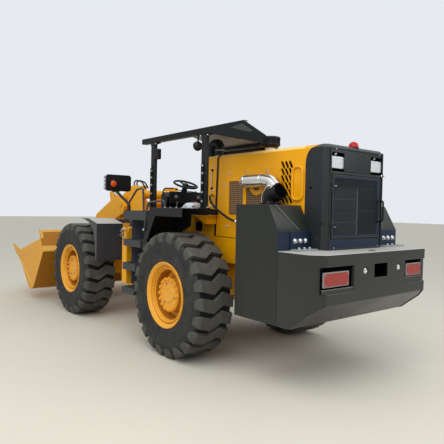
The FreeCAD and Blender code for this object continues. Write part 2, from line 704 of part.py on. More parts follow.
def engine_block():
    rear_x = ENGINE_FRONT_X - ENGINE_LENGTH
    block = box(rear_x, ENGINE_FRONT_X, -ENGINE_HALF, ENGINE_HALF, ENGINE_Z0, ENGINE_Z1)
    low = ENGINE_Z0 + MOUNT_HEIGHT
    feet = [box(x, x + MOUNT_LENGTH, -FRAME_Y, FRAME_Y, low, low + MOUNT_HEIGHT)
            for x in (rear_x + MOUNT_INSET, ENGINE_FRONT_X - MOUNT_INSET - MOUNT_LENGTH)]
    return fuse([block] + feet)


def gearbox():
    rear_x = GEARBOX_FRONT_X - GEARBOX_LENGTH
    block = box(rear_x, GEARBOX_FRONT_X, -GEARBOX_HALF, GEARBOX_HALF, GEARBOX_Z0, GEARBOX_Z1)
    back, rise, length, height = GEARBOX_FOOT
    foot_x = GEARBOX_FRONT_X - back
    foot_z = GEARBOX_Z0 + rise + 10
    feet = box(foot_x, foot_x + length, -FRAME_Y, FRAME_Y, foot_z, foot_z + height)
    sump = box(rear_x + SUMP_INSET, GEARBOX_FRONT_X - SUMP_INSET, -SUMP_HALF, SUMP_HALF,
               GEARBOX_Z0 - SUMP_DEPTH, GEARBOX_Z0)
    return fuse([block, feet, sump])


def rear_shafts():
    """The drive to the rear axle, and the stub and fork that meet the front shaft."""
    rear_x = GEARBOX_FRONT_X - GEARBOX_LENGTH
    back = rod((DIFF_HALF, 0, SHAFT_AXLE_Z), (rear_x, 0, SHAFT_BOX_Z), SHAFT_R)
    root_x = PIVOT_X - YOKE_BACK
    stub = rod((GEARBOX_FRONT_X, 0, SHAFT_Z), (root_x + 20, 0, SHAFT_Z), SHAFT_R)
    inner = JOINT_HALF + JOINT_CLEAR
    outer = inner + YOKE_ARM
    yoke = [box(root_x, root_x + YOKE_ROOT, -YOKE_HALF, YOKE_HALF, SHAFT_Z - outer, SHAFT_Z + outer)]
    for z0 in (SHAFT_Z - outer, SHAFT_Z + inner):
        yoke.append(box(root_x, PIVOT_X, -YOKE_HALF, YOKE_HALF, z0, z0 + YOKE_ARM))
        yoke.append(upright(PIVOT_X, 0, z0, YOKE_ARM, YOKE_HALF))
    trimmed = back.cut(axle(0)).cut(gearbox())
    return Part.makeCompound([trimmed, fuse([stub] + yoke)])


def front_shaft():
    """The shaft from the joint at the frame's hinge to the front axle."""
    boss_piece = upright(PIVOT_X, 0, SHAFT_Z - JOINT_HALF, 2 * JOINT_HALF, JOINT_R)
    shaft = rod((PIVOT_X, 0, SHAFT_Z), (WHEELBASE - DIFF_HALF, 0, SHAFT_AXLE_Z), SHAFT_R)
    half = 60
    shaft = shaft.cut(box(PIVOT_X - half, PIVOT_X, -half, half, SHAFT_Z - half, SHAFT_Z + half))
    above = box(PIVOT_X - half, PIVOT_X + YOKE_HALF + 5, -half, half,
                SHAFT_Z + JOINT_HALF, SHAFT_Z + 2 * half)
    return fuse([boss_piece, shaft.cut(above)]).cut(axle(WHEELBASE))


def counterweight():
    side = [(CW_FRONT_X, CW_BOTTOM), (CW_SLOPE_X, CW_BOTTOM), (CW_REAR_X, CW_SLOPE_Z),
            (CW_REAR_X, FRAME_TOP), (CW_FRONT_X, FRAME_TOP)]
    face = CW_HALF - CW_CHAMFER
    plan = [(CW_FRONT_X, CW_HALF), (CW_REAR_X + CW_CHAMFER, CW_HALF), (CW_REAR_X, face),
            (CW_REAR_X, -face), (CW_REAR_X + CW_CHAMFER, -CW_HALF), (CW_FRONT_X, -CW_HALF)]
    body = side_prism(side, -CW_HALF, CW_HALF).common(plan_prism(plan, 0, HOOD_TOP))
    pin_low = TOW_LOW - TOW_PIN_DEPTH
    tools = [box(CW_REAR_X - 1, CW_REAR_X + TOW_DEPTH, -TOW_HALF, TOW_HALF, TOW_LOW, TOW_HIGH),
             upright(TOW_PIN_X, 0, pin_low, FRAME_TOP - pin_low + 1, TOW_PIN_R)]
    for side_y in (1, -1):
        low, high = side_span(side_y, RECESS_INNER_Y, CW_HALF)
        tools.append(box(CW_REAR_X - 1, CW_REAR_X + RECESS_DEPTH, low, high,
                         RECESS_LOW, RECESS_HIGH))
    return cut(body, tools)


def wing():
    outline = [(WING_FRONT_X, CW_BOTTOM), (CW_FRONT_X, CW_BOTTOM), (CW_FRONT_X, WING_SLANT_Z),
               (WING_SLANT_X, WING_TOP), (WING_FRONT_X, WING_TOP)]
    return side_prism(outline, HOOD_HALF, CW_HALF)


def wing_bracket():
    far = BRACKET_Y0 + BRACKET_WIDTH
    plate = box(CW_FRONT_X - BRACKET_PLATE, CW_FRONT_X, BRACKET_Y0, far,
                FRAME_TOP, FRAME_TOP + BRACKET_HEIGHT)
    foot = box(CW_FRONT_X - BRACKET_FOOT, CW_FRONT_X, BRACKET_Y0, far,
               FRAME_TOP, FRAME_TOP + BRACKET_PLATE)
    return fuse([plate, foot])


def mesh_windows():
    """Openings in the bonnet's sides, as rear x, front x, low z and high z."""
    return [(HOOD_FRONT_X - back - width, HOOD_FRONT_X - back, MESH_LOW + rise,
             MESH_LOW + rise + height) for back, width, rise, height in MESH_WINDOWS]


def hose_fitting(first, second):
    """A short straight fitting from the bonnet's side to the hose's end."""
    end = vec(*first)
    inward = end - vec(*second)
    inward.normalize()
    return Part.makeCylinder(HOSE_FITTING_R, HOSE_FITTING, end, inward)


def hose_points():
    return [(x, HOOD_HALF + out, z) for x, z, out in HOSE_ROUTE]


def hood():
    """Bonnet shell with its mesh windows, foot rails and the side hose's two fittings."""
    roof = [(-HOOD_HALF, FRAME_TOP), (-HOOD_HALF, HOOD_TOP - HOOD_CHAMFER),
            (-HOOD_HALF + HOOD_CHAMFER, HOOD_TOP), (HOOD_HALF - HOOD_CHAMFER, HOOD_TOP),
            (HOOD_HALF, HOOD_TOP - HOOD_CHAMFER), (HOOD_HALF, FRAME_TOP)]
    outer = end_prism(roof, HOOD_REAR_X, HOOD_FRONT_X)
    inner_half = HOOD_HALF - HOOD_WALL
    tools = [box(HOOD_REAR_X - 1, HOOD_FRONT_X - HOOD_WALL, -inner_half, inner_half,
                 FRAME_TOP - 1, HOOD_TOP - HOOD_CHAMFER)]
    for rear, front, low, high in mesh_windows():
        tools.append(box(rear, front, -HOOD_HALF - 1, HOOD_HALF + 1, low, high))
    pieces = [cut(outer, tools)]
    for side in (1, -1):
        low, high = side_span(side, FRAME_Y, HOOD_HALF)
        pieces.append(box(HOOD_REAR_X, HOOD_FRONT_X, low, high, FRAME_TOP, FRAME_TOP + HOOD_RAIL))
    route = hose_points()
    pieces += [hose_fitting(route[0], route[1]), hose_fitting(route[-1], route[-2])]
    return fuse(pieces)


def hood_mesh():
    inner = HOOD_HALF - HOOD_WALL
    panels = []
    for rear, front, low, high in mesh_windows():
        for side in (1, -1):
            y0, y1 = side_span(side, inner - MESH_THICK, inner)
            panels.append(box(rear - MESH_BORDER, front + MESH_BORDER, y0, y1,
                              low - MESH_BORDER, high + MESH_BORDER))
    return Part.makeCompound(panels)


def hood_hose():
    """Free hose from one fitting to the other; prints its bends' radii."""
    route = [vec(*point) for point in hose_points()]
    radii = []
    for i in range(1, len(route) - 1):
        back = route[i - 1] - route[i]
        ahead = route[i + 1] - route[i]
        turn = math.pi - back.getAngle(ahead)
        radii.append(round(0.45 * min(back.Length, ahead.Length) / math.tan(turn / 2)))
    print("hood_hose bend radii", radii)
    return tube(hose_points(), HOSE_R)


def radiator():
    return box(RADIATOR_FRONT_X - RADIATOR_THICK, RADIATOR_FRONT_X, -RADIATOR_HALF, RADIATOR_HALF,
               FRAME_TOP + HOOD_RAIL, RADIATOR_TOP)


def cowl_plan(half, rear_x, chamfer):
    return [(HOOD_REAR_X, half), (rear_x + chamfer, half), (rear_x, half - chamfer),
            (rear_x, chamfer - half), (rear_x + chamfer, -half), (HOOD_REAR_X, -half)]


def knuckle_axis():
    return COWL_REAR_X - DOOR_AXIS_OFF, DOOR_HALF + DOOR_GAP + KNUCKLE_R


def rear_cowl():
    """Hollow cowl behind the bonnet: its doorway, lamp trough and the door's hinge ears."""
    outer = plan_prism(cowl_plan(COWL_HALF, COWL_REAR_X, COWL_CHAMFER), FRAME_TOP, HOOD_TOP)
    under = HOOD_TOP - HOOD_WALL
    inner = plan_prism(cowl_plan(COWL_HALF - HOOD_WALL, COWL_REAR_X + HOOD_WALL, COWL_CHAMFER),
                       FRAME_TOP - 1, under)
    mouth = COWL_HALF - COWL_LAP
    inner = inner.fuse(box(HOOD_REAR_X - 1, HOOD_REAR_X + 1, -mouth, mouth, FRAME_TOP - 1, under))
    back_x = COWL_REAR_X + RECESS_LAMP_DEPTH
    wide = RECESS_LAMP_HALF + HOOD_WALL
    trough = box(COWL_REAR_X, back_x + HOOD_WALL, -wide, wide, RECESS_LAMP_LOW - HOOD_WALL,
                 RECESS_LAMP_HIGH + HOOD_WALL)
    hollow = box(COWL_REAR_X - 1, back_x, -RECESS_LAMP_HALF, RECESS_LAMP_HALF,
                 RECESS_LAMP_LOW, RECESS_LAMP_HIGH)
    doorway = box(COWL_REAR_X - 1, COWL_REAR_X + HOOD_WALL + 1, -DOOR_HALF - DOOR_GAP,
                  DOOR_HALF + DOOR_GAP, DOOR_LOW - DOOR_GAP, DOOR_HIGH + DOOR_GAP)
    pieces = [outer.cut(inner).fuse(trough).cut(hollow).cut(doorway)]
    axis_x, axis_y = knuckle_axis()
    half = KNUCKLE_LENGTH / 2
    for z in DOOR_HINGE_Z:
        for z0 in (z - half - KNUCKLE_GAP - KNUCKLE_EAR, z + half + KNUCKLE_GAP):
            pieces.append(box(axis_x - KNUCKLE_R, COWL_REAR_X, axis_y - KNUCKLE_R,
                              axis_y + KNUCKLE_R, z0, z0 + KNUCKLE_EAR))
        pieces.append(upright(axis_x, axis_y, z - half - 10, KNUCKLE_LENGTH + 20, KNUCKLE_PIN_R))
    return fuse(pieces)


def grille_door():
    """Door plate with its two knuckles and the bow handle."""
    plate_x = COWL_REAR_X - DOOR_PROUD
    pieces = [box(plate_x, plate_x + DOOR_PLATE, -DOOR_HALF, DOOR_HALF, DOOR_LOW, DOOR_HIGH)]
    axis_x, axis_y = knuckle_axis()
    half = KNUCKLE_LENGTH / 2
    for z in DOOR_HINGE_Z:
        pieces.append(upright(axis_x, axis_y, z - half, KNUCKLE_LENGTH, KNUCKLE_R))
        pieces.append(box(axis_x - KNUCKLE_R, plate_x, DOOR_HALF - 30, axis_y, z - half, z + half))
    handle_x = plate_x - HANDLE_REACH
    handle_y = HANDLE_INSET - DOOR_HALF
    low = DOOR_LOW + HANDLE_LOW
    high = low + HANDLE_LENGTH
    pieces.append(tube([(plate_x, handle_y, low), (handle_x, handle_y, low),
                        (handle_x, handle_y, high), (plate_x, handle_y, high)], HANDLE_R))
    return cut(fuse(pieces), [upright(axis_x, axis_y, z - half - 1, KNUCKLE_LENGTH + 2,
                                      KNUCKLE_PIN_R + FIT_GAP) for z in DOOR_HINGE_Z])


def work_lamps():
    back = COWL_REAR_X + RECESS_LAMP_DEPTH
    return both_sides(box(COWL_REAR_X + LAMP_INSET, back, LAMP_Y0, LAMP_Y0 + LAMP_WIDTH,
                          LAMP_Z0, LAMP_Z0 + LAMP_HEIGHT))


def beacon():
    x, y = BEACON_AT
    foot_r, foot = BEACON_FOOT
    low_r, top_r, height = BEACON_DOME
    return fuse([upright(x, y, HOOD_TOP, foot, foot_r),
                 Part.makeCone(low_r, top_r, height, vec(x, y, HOOD_TOP + foot))])


def precleaner():
    """Neck, bowl, drum and cap, one on the other."""
    x, y = PRECLEANER_AT
    neck_r, neck = PRECLEANER_NECK
    bowl_r, bowl = PRECLEANER_BOWL
    drum_r, drum = PRECLEANER_DRUM
    cap_r, cap = PRECLEANER_CAP
    z = HOOD_TOP
    pieces = [upright(x, y, z, neck, neck_r)]
    z += neck
    pieces.append(Part.makeCone(bowl_r, drum_r, bowl, vec(x, y, z)))
    z += bowl
    pieces.append(upright(x, y, z, drum, drum_r))
    z += drum
    pieces.append(Part.makeCone(drum_r, cap_r, cap, vec(x, y, z)))
    return fuse(pieces)


def exhaust():
    """Pipe out of the bonnet's side and the elbow that carries it on the wing box."""
    start = EXHAUST_PATH[0]
    inside = box(start[0] - 400, start[0] + 400, 0, HOOD_HALF, start[2] - 200, start[2] + 200)
    return fuse([tube(EXHAUST_PATH, EXHAUST_R).cut(inside), tube(ELBOW_PATH, ELBOW_R)])


# Lower body, floor and driving place
def lower_body():
    """The box under the seat, open beneath and round the frame."""
    outer = box(BODY_X0, BODY_FRONT_X, -BODY_HALF, BODY_HALF, BODY_BOTTOM, FRAME_TOP)
    outer = outer.fuse(box(HOOD_FRONT_X, BODY_FRONT_X, -BODY_HALF, BODY_HALF,
                           FRAME_TOP, FLOOR_TOP))
    inner_y = BODY_HALF - BODY_PLATE
    inner_x = BODY_FRONT_X - BODY_PLATE
    hollow = [box(BODY_X0 - 1, BODY_FRONT_X + 1, -FRAME_OUT, FRAME_OUT,
                  BODY_BOTTOM - 1, FRAME_TOP),
              box(BODY_X0 + BODY_PLATE, inner_x, -inner_y, inner_y,
                  BODY_BOTTOM + BODY_PLATE, FRAME_TOP - BODY_PLATE),
              box(HOOD_FRONT_X + BODY_PLATE, inner_x, -inner_y, inner_y,
                  FRAME_TOP - BODY_PLATE - 1, FLOOR_TOP - BODY_PLATE)]
    return cut(outer, hollow)


def floor():
    """Deck plate ahead of the seat box, with the cross plate that carries it."""
    low = PLATFORM_BOTTOM - FLOOR_PLATE
    nose_half = DECK_HALF - DECK_NOSE_IN
    leg_x = FRAME_SLOPE_X - DECK_LEG_BACK
    deck = box(BODY_FRONT_X, PLATFORM_FRONT_X, -DECK_HALF, DECK_HALF, low, PLATFORM_BOTTOM)
    nose = box(PLATFORM_FRONT_X, PLATFORM_FRONT_X + FLOOR_NOSE, -nose_half, nose_half,
               low, PLATFORM_BOTTOM)
    leg = box(leg_x, leg_x + DECK_LEG, -FRAME_OUT, FRAME_OUT, FRAME_TOP, low)
    return fuse([deck, nose, leg])


def treads():
    """The steps' boxes, as rear x, front x, low z and high z."""
    return [(PLATFORM_FRONT_X - back, PLATFORM_FRONT_X + ahead, AXLE_Z + rise,
             AXLE_Z + rise + height) for back, ahead, rise, height in STEPS]


def side_steps():
    """Platform, the hanger plate below it and the treads that it carries."""
    platform = box(PLATFORM_FRONT_X - PLATFORM_BACK, PLATFORM_FRONT_X, DECK_HALF - PLATFORM_LAP,
                   SIDE_Y, PLATFORM_BOTTOM, PLATFORM_TOP)
    upper, middle, low = treads()
    hanger = [(upper[0], PLATFORM_BOTTOM), (PLATFORM_FRONT_X, PLATFORM_BOTTOM), (low[1], low[2]),
              (low[0], low[2]), (middle[0], middle[3]), (upper[0], upper[2])]
    pieces = [platform, side_prism(hanger, HANGER_Y, HANGER_Y + HANGER_PLATE)]
    for x0, x1, z0, z1 in (upper, middle, low):
        pieces.append(box(x0, x1, HANGER_Y, SIDE_Y, z0, z1))
    return fuse(pieces)


def side_tank():
    """Box column ahead of the steps, on two arms from the frame."""
    pieces = [box(TANK_X0, TANK_X0 + TANK_LENGTH, TANK_Y0, TANK_Y0 + TANK_WIDTH, TANK_Z0, TANK_Z1)]
    back_x = FRAME_FRONT_X - TANK_ARM_LENGTH
    tip_x = TANK_X0 + TANK_ARM_LAP
    far_y = TANK_Y0 + TANK_ARM
    plan = [(back_x, FRAME_OUT), (FRAME_FRONT_X, FRAME_OUT), (FRAME_FRONT_X, TANK_Y0),
            (tip_x, TANK_Y0), (tip_x, far_y), (back_x, far_y)]
    pieces += [plan_prism(plan, z, z + TANK_ARM) for z in TANK_ARM_Z]
    return fuse(pieces)


def rear_fender():
    """Bent plate over the rear wheel, with its front leg, skirt, arch panel and bearer."""
    t = FENDER_PLATE
    top = FENDER_TOP
    foot_x = FENDER_CORNER_X + FENDER_LEG
    rear_top = top - FENDER_DROP
    line = [(FENDER_REAR_X, rear_top), (FENDER_FLAT_X, top), (FENDER_CORNER_X, top),
            (foot_x, FENDER_FOOT_Z)]
    leg = [(foot_x - t, FENDER_FOOT_Z), (FENDER_CORNER_X - t, top - t)]
    under = leg + [(FENDER_FLAT_X, top - t), (FENDER_REAR_X, rear_top - t)]
    sheet = side_prism(line + under, FENDER_Y0, FENDER_Y1)
    skirt_z = top - SKIRT_DEPTH
    inner = [(foot_x - SKIRT_FOOT, FENDER_FOOT_Z), (SKIRT_FRONT_X, skirt_z),
             (FENDER_REAR_X + SKIRT_REAR, skirt_z)]
    skirt = side_prism(line + inner, FENDER_Y1 - t, FENDER_Y1)
    arch = leg + [(ARCH_PANEL[0][0], top - t)] + [(x, top - z) for x, z in ARCH_PANEL]
    panel = side_prism(arch, FENDER_Y0, FENDER_Y0 + t)
    rear_in, front_in = BEARER_INSET
    bearer = box(FENDER_FLAT_X + rear_in, FENDER_CORNER_X - front_in, BODY_HALF,
                 FENDER_Y0 + BEARER_LAP, top - t - BEARER_DEPTH, top - t)
    return fuse([sheet, skirt, panel, bearer])


def seat():
    half = SEAT_DEPTH / 2
    rear_x = SEAT_X - half
    high = FLOOR_TOP + SEAT_HEIGHT
    cushion = box(rear_x, SEAT_X + half, SEAT_Y - SEAT_HALF, SEAT_Y + SEAT_HALF, FLOOR_TOP, high)
    lean = SEAT_BACK_LEAN
    back = side_prism([(rear_x, high), (rear_x + 110, high), (rear_x + 90 - lean, high + SEAT_HEIGHT),
                       (rear_x - lean, high + SEAT_HEIGHT)],
                      SEAT_Y - SEAT_HALF + SEAT_BACK_IN, SEAT_Y + SEAT_HALF - SEAT_BACK_IN)
    return fuse([cushion, back])


def dash_corner():
    """Rear x and top z of the dash."""
    return PLATFORM_FRONT_X + FLOOR_NOSE - DASH_BACK, PLATFORM_BOTTOM + DASH_HEIGHT


def dash():
    x, z = dash_corner()
    front_x = PLATFORM_FRONT_X + FLOOR_NOSE - DASH_INSET
    side = [(x, PLATFORM_BOTTOM), (front_x, PLATFORM_BOTTOM), (front_x, z - DASH_SHELF),
            (x + 60, z), (x - DASH_SHELF, z - 70), (x - DASH_SHELF, z - 140), (x, z - 180)]
    return side_prism(side, DASH_RIGHT_Y, DASH_LEFT_Y)


def steering_wheel():
    """Ring, three spokes and hub on its column, which runs down into the dash."""
    x, z = dash_corner()
    centre = vec(x - WHEEL_CENTRE_BACK, WHEEL_CENTRE_Y, z + WHEEL_CENTRE_RISE)
    axis = vec(*WHEEL_TILT)
    axis.normalize()
    ring = Part.makeTorus(WHEEL_RING_R, WHEEL_RIM_R, centre, axis)
    across = vec(0, 1, 0)
    along = axis.cross(across)
    spokes = []
    for degrees in (90, 210, 330):
        a = math.radians(degrees)
        spokes.append(Part.makeCylinder(SPOKE_R, WHEEL_RING_R - 5, centre,
                                        across * math.cos(a) + along * math.sin(a)))
    hub = Part.makeCylinder(WHEEL_HUB_R, WHEEL_HUB, centre - axis * 20, axis)
    column = Part.makeCylinder(COLUMN_R, COLUMN_LENGTH, centre - axis * (COLUMN_LENGTH + 10), axis)
    return fuse([ring, hub, column.cut(dash())] + spokes)


def canopy_roof():
    """Roof sheet cut back slantwise, the left side beam with its cheek, the right beam."""
    right = ROOF_RIGHT_Y
    under = ROOF_TOP - ROOF_PLATE
    corner = (ROOF_BREAK_X, ROOF_SIDE_Y)
    sheet = plan_prism([(ROOF_LEFT_FRONT_X, ROOF_SIDE_Y), corner, (ROOF_REAR_RIGHT_X, right),
                        (ROOF_FRONT_RIGHT_X, right)], under, ROOF_TOP)
    beam_under = ROOF_TOP - ROOF_BEAM
    beam = side_prism([(ROOF_FRONT_X, beam_under), (ROOF_FRONT_X, ROOF_TOP),
                       (ROOF_BREAK_X, ROOF_TOP), (BEAM_END_X, beam_under)],
                      ROOF_SIDE_Y - ROOF_FLANGE, ROOF_SIDE_Y)
    back, drop = CHEEK_TIP
    cheek = side_prism([(CHEEK_X[0], beam_under), (ROOF_BREAK_X, ROOF_TOP), (ROOF_TIP_X, ROOF_TIP_Z),
                        (ROOF_TIP_X + back, ROOF_TIP_Z - drop), (CHEEK_X[1], beam_under - CHEEK_DROP)],
                       ROOF_SIDE_Y - ROOF_PLATE, ROOF_SIDE_Y)
    third = [corner[0] + VISOR_SHARE * (ROOF_REAR_RIGHT_X - corner[0]),
             corner[1] + VISOR_SHARE * (right - corner[1])]
    corners = [vec(corner[0], corner[1], ROOF_TOP), vec(ROOF_TIP_X, ROOF_SIDE_Y, ROOF_TIP_Z),
               vec(third[0], third[1], ROOF_TOP)]
    visor = Part.Face(Part.makePolygon(corners + corners[:1])).extrude(vec(0, 0, -ROOF_PLATE))
    right_beam = box(ROOF_REAR_RIGHT_X, ROOF_FRONT_RIGHT_X, right, right + ROOF_FLANGE,
                     beam_under, ROOF_TOP)
    return fuse([sheet, beam, cheek, visor, right_beam])


def canopy_posts():
    """Four posts, each from its foot to the roof's beams."""
    top = ROOF_TOP - ROOF_BEAM
    half = POST_LENGTH / 2
    return Part.makeCompound([box(x - half, x + half, y, y + POST_DEPTH, z, top)
                              for x, y, z in POSTS])


def handrails():
    rear, front, rise = REAR_RAIL
    rear_top = FENDER_TOP + rise
    rear_bow = [(rear, RAIL_Y, FENDER_TOP), (rear, RAIL_Y, rear_top), (front, RAIL_Y, rear_top),
                (front, RAIL_Y, FENDER_TOP)]
    first, second, third = (PLATFORM_FRONT_X - step for step in FRONT_RAIL)
    front_bow = [(first, RAIL_Y, PLATFORM_TOP), (first, RAIL_Y, PLATFORM_TOP + FRONT_RAIL_RISE[0]),
                 (second, RAIL_Y, PLATFORM_TOP + FRONT_RAIL_RISE[1]),
                 (third, RAIL_Y, PLATFORM_TOP + FRONT_RAIL_RISE[2]), (third, RAIL_Y, PLATFORM_TOP)]
    rails = [tube(points, RAIL_R) for points in (rear_bow, front_bow)]
    return Part.makeCompound(rails + [mirrored(rail) for rail in rails])


def lamp_unit():
    """Head lamp and indicator housing on its bent arm."""
    length, width, height = LAMP_BOX
    foot_x = PLATFORM_FRONT_X - 15
    arm = [(foot_x, LAMP_ARM_Y, PLATFORM_TOP), (foot_x, LAMP_ARM_Y, PLATFORM_TOP + 95),
           (LAMP_X + 40, LAMP_ARM_Y + 15, PLATFORM_TOP + 155),
           (LAMP_X + 45, LAMP_ARM_Y + 15, LAMP_BOX_Z + 1)]
    housing = box(LAMP_X, LAMP_X + length, LAMP_BOX_Y, LAMP_BOX_Y + width,
                  LAMP_BOX_Z, LAMP_BOX_Z + height)
    return fuse([housing, tube(arm, RAIL_R)])


# Front half
def front_frame():
    """Tower and side plates, the hinge's lugs, the seats of the cylinders and the boom's pin."""
    outline = [(FRONT_FRAME_REAR_X, TOWER_BOTTOM)]
    outline += [(WHEELBASE + x, AXLE_Z + z) for x, z in TOWER_LINE]
    outline += [(FRONT_FRAME_REAR_X, TOWER_NECK_TOP)]
    pieces = [side_prism(outline, TOWER_Y, TOWER_OUT), side_prism(outline, -TOWER_OUT, -TOWER_Y)]
    back = box(FRONT_FRAME_REAR_X, FRONT_FRAME_REAR_X + NOSE_PLATE, -TOWER_Y, TOWER_Y,
               TOWER_BOTTOM, TOWER_NECK_TOP)
    window_z = SHAFT_Z - 20
    pieces.append(back.cut(rod((FRONT_FRAME_REAR_X - 20, 0, window_z),
                               (FRONT_FRAME_REAR_X + 60, 0, window_z), WINDOW_R)))
    nose_x = WHEELBASE + TOWER_LINE[2][0]
    pieces.append(box(nose_x - NOSE_PLATE, nose_x, -TOWER_Y, TOWER_Y, AXLE_PAD_TOP,
                      AXLE_Z + TOWER_LINE[3][1]))
    pieces.append(box(WHEELBASE + TOWER_LINE[-1][0], WHEELBASE + TOWER_LINE[0][0],
                      -TOWER_Y, TOWER_Y, TOWER_SHELF_Z, TOWER_SHELF_Z + NOSE_PLATE))
    x, z = WHEELBASE + TOWER_TUBE[0], AXLE_Z + TOWER_TUBE[1]
    pieces.append(rod((x, -TOWER_Y, z), (x, TOWER_Y, z), TOWER_TUBE_R))
    for z in (HINGE_HIGH_Z, HINGE_LOW_Z):
        low = z - HINGE_LUG_HALF
        pieces.append(box(PIVOT_X, FRONT_FRAME_REAR_X, -HINGE_EYE_R, HINGE_EYE_R,
                          low, z + HINGE_LUG_HALF))
        pieces.append(upright(PIVOT_X, 0, low, 2 * HINGE_LUG_HALF, HINGE_EYE_R))
    half = STEER_EYE_LUG_R
    for side in (1, -1):
        y = side * STEER_Y_EYE
        for z0 in (STEER_Z - STEER_EYE_GAP - STEER_LUG, STEER_Z + STEER_EYE_GAP):
            pieces.append(box(PIVOT_X, FRONT_FRAME_REAR_X, y - half, y + half, z0, z0 + STEER_LUG))
            pieces.append(upright(PIVOT_X, y, z0, STEER_LUG, half))
        low, high = side_span(side, TOWER_OUT, LIFT_Y - 50)
        pieces.append(boss(LIFT_BASE, low, high, LIFT_SEAT_R))
        low, high = side_span(side, TOWER_OUT, LIFT_Y + 50)
        pieces.append(boss(LIFT_BASE, low, high, LIFT_SIZES[-1]))
    reach = BOOM_OUT + BOOM_PIN_PROUD
    pieces.append(boss(BOOM_PIVOT, -reach, reach, BOOM_PIN_R))
    return cut(fuse(pieces), [upright(PIVOT_X, 0, z - 100, 200, HINGE_PIN_R + FIT_GAP)
                              for z in (HINGE_HIGH_Z, HINGE_LOW_Z)])


def mudguard():
    """Bent plate behind and over the front wheel, on an arm from the tower."""
    t = GUARD_PLATE
    ahead, rise = GUARD_BEND
    bend_x = GUARD_X + ahead
    low = GUARD_TOP - rise
    line = [(GUARD_X, GUARD_LOW), (GUARD_X, low), (bend_x, GUARD_TOP), (GUARD_END_X, GUARD_TOP)]
    under = [(GUARD_END_X, GUARD_TOP - t), (bend_x + 1, GUARD_TOP - t), (GUARD_X + t, low - t),
             (GUARD_X + t, GUARD_LOW)]
    arm = box(GUARD_ARM_X, GUARD_ARM_X + GUARD_ARM, TOWER_OUT, GUARD_Y1 - GUARD_ARM_IN,
              GUARD_TOP - t - GUARD_ARM, GUARD_TOP - t)
    return fuse([side_prism(line + under, GUARD_Y0, GUARD_Y1), arm])


def boss(point, y0, y1, radius):
    return rod((point[0], y0, point[1]), (point[0], y1, point[1]), radius)


def boom():
    """Two arms joined by a cross tube, with the brackets that carry the bell crank."""
    arm = side_prism(moved(ARM_LINE), BOOM_Y, BOOM_OUT)
    arm = arm.fuse(boss(LIFT_EYE, BOOM_Y, BOOM_OUT, LIFT_BOSS_R))
    arm = arm.fuse(boss(LIFT_EYE, BOOM_OUT, LIFT_Y - LIFT_SIZES[6] / 2 - EYE_GAP, LIFT_PIN_R))
    beam = boss(CROSS_TUBE, -BOOM_Y, BOOM_Y, CROSS_TUBE_R)
    x, z = CRANK_PIVOT
    bracket = moved(CRANK_BRACKET) + [(x, z + CRANK_LUG), (x + CRANK_LUG, z), (x, z - CRANK_LUG)]
    inner = CRANK_HALF + EYE_GAP
    outer = inner + CRANK_PLATE
    plates = [side_prism(bracket, inner, outer), side_prism(bracket, -outer, -inner)]
    pin = boss(CRANK_PIVOT, -outer - 10, outer + 10, CRANK_PIN_R)
    reach = BOOM_OUT + 5
    return cut(fuse([arm, mirrored(arm), beam] + plates + [pin]),
               [boss(BOOM_PIVOT, -reach, reach, BOOM_PIN_R + FIT_GAP),
                boss(BUCKET_PIN, -reach, reach, BUCKET_PIN_R + FIT_GAP)])


def taper(p, q, rp, rq, y0, y1):
    """A bar with round ends of two radii, lying along the centre plane."""
    dx = q[0] - p[0]
    dz = q[1] - p[1]
    length = math.hypot(dx, dz)
    nx = -dz / length
    nz = dx / length
    outline = [(p[0] + nx * rp, p[1] + nz * rp), (q[0] + nx * rq, q[1] + nz * rq),
               (q[0] - nx * rq, q[1] - nz * rq), (p[0] - nx * rp, p[1] - nz * rp)]
    return [side_prism(outline, y0, y1), boss(p, y0, y1, rp), boss(q, y0, y1, rq)]


def bell_crank():
    """Forked at both ends: above for the tilt rod's eye, below for the link."""
    bars = taper(CRANK_PIVOT, CRANK_TOP, CRANK_BOSS_R, CRANK_END_R, -CRANK_HALF, CRANK_HALF)
    bars += taper(CRANK_PIVOT, CRANK_LOW, CRANK_BOSS_R, CRANK_END_R, -CRANK_HALF, CRANK_HALF)
    slot = LINK_HALF + EYE_GAP
    crank = cut(fuse(bars), [
        boss(CRANK_TOP, -slot, slot, TILT_SIZES[5] + TILT_TRAVEL + EYE_GAP),
        boss(CRANK_LOW, -slot, slot, LINK_END_R + LINK_TRAVEL + EYE_GAP),
        boss(CRANK_PIVOT, -CRANK_HALF - 1, CRANK_HALF + 1, CRANK_PIN_R + FIT_GAP)])
    reach = CRANK_HALF + PIN_PROUD
    return fuse([crank, boss(CRANK_LOW, -reach, reach, LINK_PIN_R)])


def tilt_link():
    link = fuse(taper(CRANK_LOW, LINK_EYE, LINK_END_R, LINK_EYE_R, -LINK_HALF, LINK_HALF))
    return link.cut(boss(CRANK_LOW, -LINK_HALF - 1, LINK_HALF + 1, LINK_PIN_R + FIT_GAP))


def offset_line(points, distance):
    """The same line moved sideways, with mitred corners."""
    shifted = []
    for i, point in enumerate(points):
        normals = []
        for a, b in ((i - 1, i), (i, i + 1)):
            if a < 0 or b >= len(points):
                continue
            dx = points[b][0] - points[a][0]
            dz = points[b][1] - points[a][1]
            length = math.hypot(dx, dz)
            normals.append((-dz / length, dx / length))
        nx = sum(n[0] for n in normals) / len(normals)
        nz = sum(n[1] for n in normals) / len(normals)
        scale = distance / (nx * nx + nz * nz)
        shifted.append((point[0] + nx * scale, point[1] + nz * scale))
    return shifted


